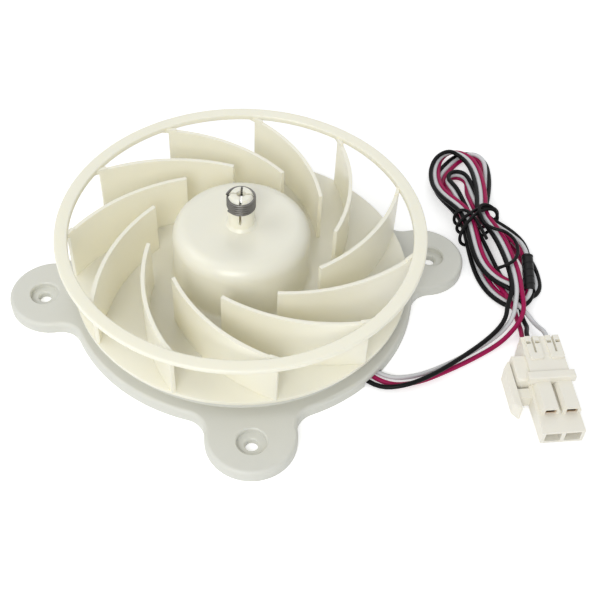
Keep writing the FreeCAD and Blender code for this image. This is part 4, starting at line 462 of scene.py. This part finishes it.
# tie: a bare cord wound three times round the waist of the hank, its end left in an open loop; in mm
tie = {
    "thickness": 1.3,
    "tailLevel": 8.05,
    "wound": [
        # short end, over the leads
        (94.7, 5.9, 7.6), (94.3, 9.6, 7.7), (93.8, 13.6, 7.8), (93.2, 17.4, 7.8), (92.3, 20.5, 7.8),
        # rear turn
        (90.4, 22.5, 7.7), (88.0, 22.9, 6.9), (86.7, 22.2, 4.9), (86.8, 21.4, 2.5), (88.6, 20.9, 0.8),
        (91.4, 20.8, 0.7), (94.4, 20.9, 0.7), (97.4, 21.1, 0.7), (100.2, 21.3, 0.7), (102.7, 21.4, 1.0),
        (104.3, 21.6, 2.8), (104.2, 22.0, 5.2), (102.6, 22.4, 7.1), (100.0, 22.8, 7.6), (97.2, 22.7, 7.7),
        # middle turn
        (94.4, 21.6, 7.8), (91.6, 19.9, 7.7), (89.1, 18.4, 7.2), (87.0, 17.5, 5.6), (86.4, 16.9, 3.1),
        (87.8, 16.7, 1.0), (90.4, 17.0, 0.6), (93.2, 17.6, 0.7), (96.2, 18.4, 0.7), (99.2, 19.1, 0.7),
        (101.9, 19.8, 0.8), (103.8, 20.3, 2.5), (103.9, 20.9, 5.0), (102.5, 21.6, 7.0), (99.9, 21.8, 7.7),
        (97.2, 21.0, 8.0), (94.2, 19.3, 8.3),
        # front turn, which slants down to the left
        (91.6, 17.0, 8.1), (89.2, 14.7, 7.5), (87.0, 12.7, 5.9), (86.0, 11.1, 3.6), (86.7, 10.3, 1.6),
        (88.7, 9.9, 0.7), (91.3, 10.9, 0.7), (94.2, 12.8, 0.7), (97.4, 14.9, 0.7), (100.5, 16.9, 0.8),
        (103.0, 18.6, 2.1), (103.8, 19.7, 4.4), (103.0, 21.2, 6.7), (101.2, 22.6, 8.1), (98.8, 23.4, 8.8),
        (96.5, 22.5, 9.1), (95.4, 20.2, 9.1), (95.4, 17.4, 8.8),
    ],
    "tail": [(95.7, 13.6), (98.6, 10.4), (103.0, 8.4), (105.4, 2.6), (104.2, -4.2), (99.6, -8.9),
             (93.6, -10.2)],
}
tieRoute = tie["wound"] + [(x, y, tie["tailLevel"]) for x, y in tie["tail"]]
tieCurve = cordCurve("tie_cord", tieRoute, tie["thickness"], "tieBlack")
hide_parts("hank_tie", "tie_tail")
round(lineLength(tieCurve), 3)
print("tie length", round(lineLength(tieCurve), 3))


def surface(name, grid, look, body, closedRows=False):
    # grid[i, j] in metres: j runs round a section, i from one section to the next; open ends are capped
    rows, columns = grid.shape[:2]
    i = np.arange(rows if closedRows else rows - 1)[:, None]
    j = np.arange(columns)[None, :]
    after, beside = (i + 1) % rows, (j + 1) % columns
    faces = np.stack([i * columns + j, i * columns + beside, after * columns + beside, after * columns + j],
                     axis=-1).reshape(-1, 4).tolist()
    if not closedRows:
        ring = np.arange(columns)
        faces += [ring[::-1].tolist(), (ring + (rows - 1) * columns).tolist()]
    mesh = bpy.data.meshes.new(name)
    mesh.from_pydata(grid.reshape(-1, 3).tolist(), [], faces)
    mesh.polygons.foreach_set("use_smooth", [len(face) == 4 for face in faces])
    mesh.materials.append(finish[look])
    made = bpy.data.objects.new(name, mesh)
    bpy.context.scene.collection.objects.link(made)
    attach(made, body)
    return made


# sleeve: tape wound round the strand in lapped turns; in mm
sleeve = {
    "start": (109.0, -2.0, 3.7),
    "end": (104.4, -19.4, 3.7),
    "radius": 2.05,
    "bore": 1.8,
    "lap": 0.16,        # step where one turn of the tape covers the last
    "turns": 5,
    "flatness": 0.05,   # three wires inside press it slightly three-cornered
    "rows": 161,
    "columns": 48,
}


def sleeveGrid(wrap):
    # with s = 1 + flat cos 3 (a + pi / 2): outer face r = R s + lap * frac(turns t - a / 2 pi), then back
    # along the bore r = B s, each point at start + t (end - start) + r (cos a * side + sin a * up)
    start, end = np.array(wrap["start"]), np.array(wrap["end"])
    run = end - start
    side = np.array([-run[1], run[0], 0]) / np.linalg.norm(run)
    up = np.array([0.0, 0.0, 1.0])
    t = np.linspace(0, 1, wrap["rows"])[:, None]
    a = np.linspace(0, 2 * np.pi, wrap["columns"], endpoint=False)[None, :]
    shape = 1 + wrap["flatness"] * np.cos(3 * (a + np.pi / 2))
    outer = wrap["radius"] * shape + wrap["lap"] * np.mod(wrap["turns"] * t - a / (2 * np.pi), 1)
    radius = np.vstack([outer, (wrap["bore"] * shape + 0 * t)[::-1]])
    along = np.vstack([t, t[::-1]])
    flat = np.cos(a)[..., None] * side + np.sin(a)[..., None] * up
    return (start + along[..., None] * run + radius[..., None] * flat) * mm


sleeveObject = surface("tape_winding", sleeveGrid(sleeve), "tapeBlack", "base",
                       closedRows=True)
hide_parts("tape_sleeve")
print("sleeve wrapped")

# spring clamp: close turns of round wire with cut ends that stand a little off; in mm
spring = {
    "wire": 0.95,
    "bottom": 40.75,
    "middleRadius": 4.6,
    "turns": 4.9,
    "pitch": 0.995,     # rise in a turn, in wires
    "endFlare": 0.25,
    "flareTurn": 0.125,
    "startAngle": 200,
    "stepsInTurn": 48,
    "columns": 14,
}


def springGrid(coil):
    # wire centre (R cos q, R sin q, bottom + wire / 2 + pitch * wire * q / 2 pi), R growing by
    # flare (1 - q / Q) squared within the last Q at each end; a round section of wire / 2 stands on it
    q = np.linspace(0, 2 * np.pi * coil["turns"], int(coil["stepsInTurn"] * coil["turns"]))
    near = np.minimum(q, q[-1] - q) / (2 * np.pi * coil["flareTurn"])
    reach = coil["middleRadius"] + coil["endFlare"] * np.clip(1 - near, 0, 1) ** 2
    turned = q + math.radians(coil["startAngle"])
    outward = np.stack([np.cos(turned), np.sin(turned), 0 * q], axis=1)
    section = np.linspace(0, 2 * np.pi, coil["columns"], endpoint=False)
    radius = coil["wire"] / 2
    centre = outward * reach[:, None]
    centre[:, 2] = coil["bottom"] + radius + coil["wire"] * coil["pitch"] * q / (2 * np.pi)
    up = np.array([0.0, 0.0, 1.0])
    ring = np.cos(section)[None, :, None] * outward[:, None, :] - np.sin(section)[None, :, None] * up
    return (centre[:, None, :] + radius * ring) * mm


springObject = surface("spring_wire", springGrid(spring), "springSteel", "rotor")
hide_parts("spring_clamp")
print("spring wound")
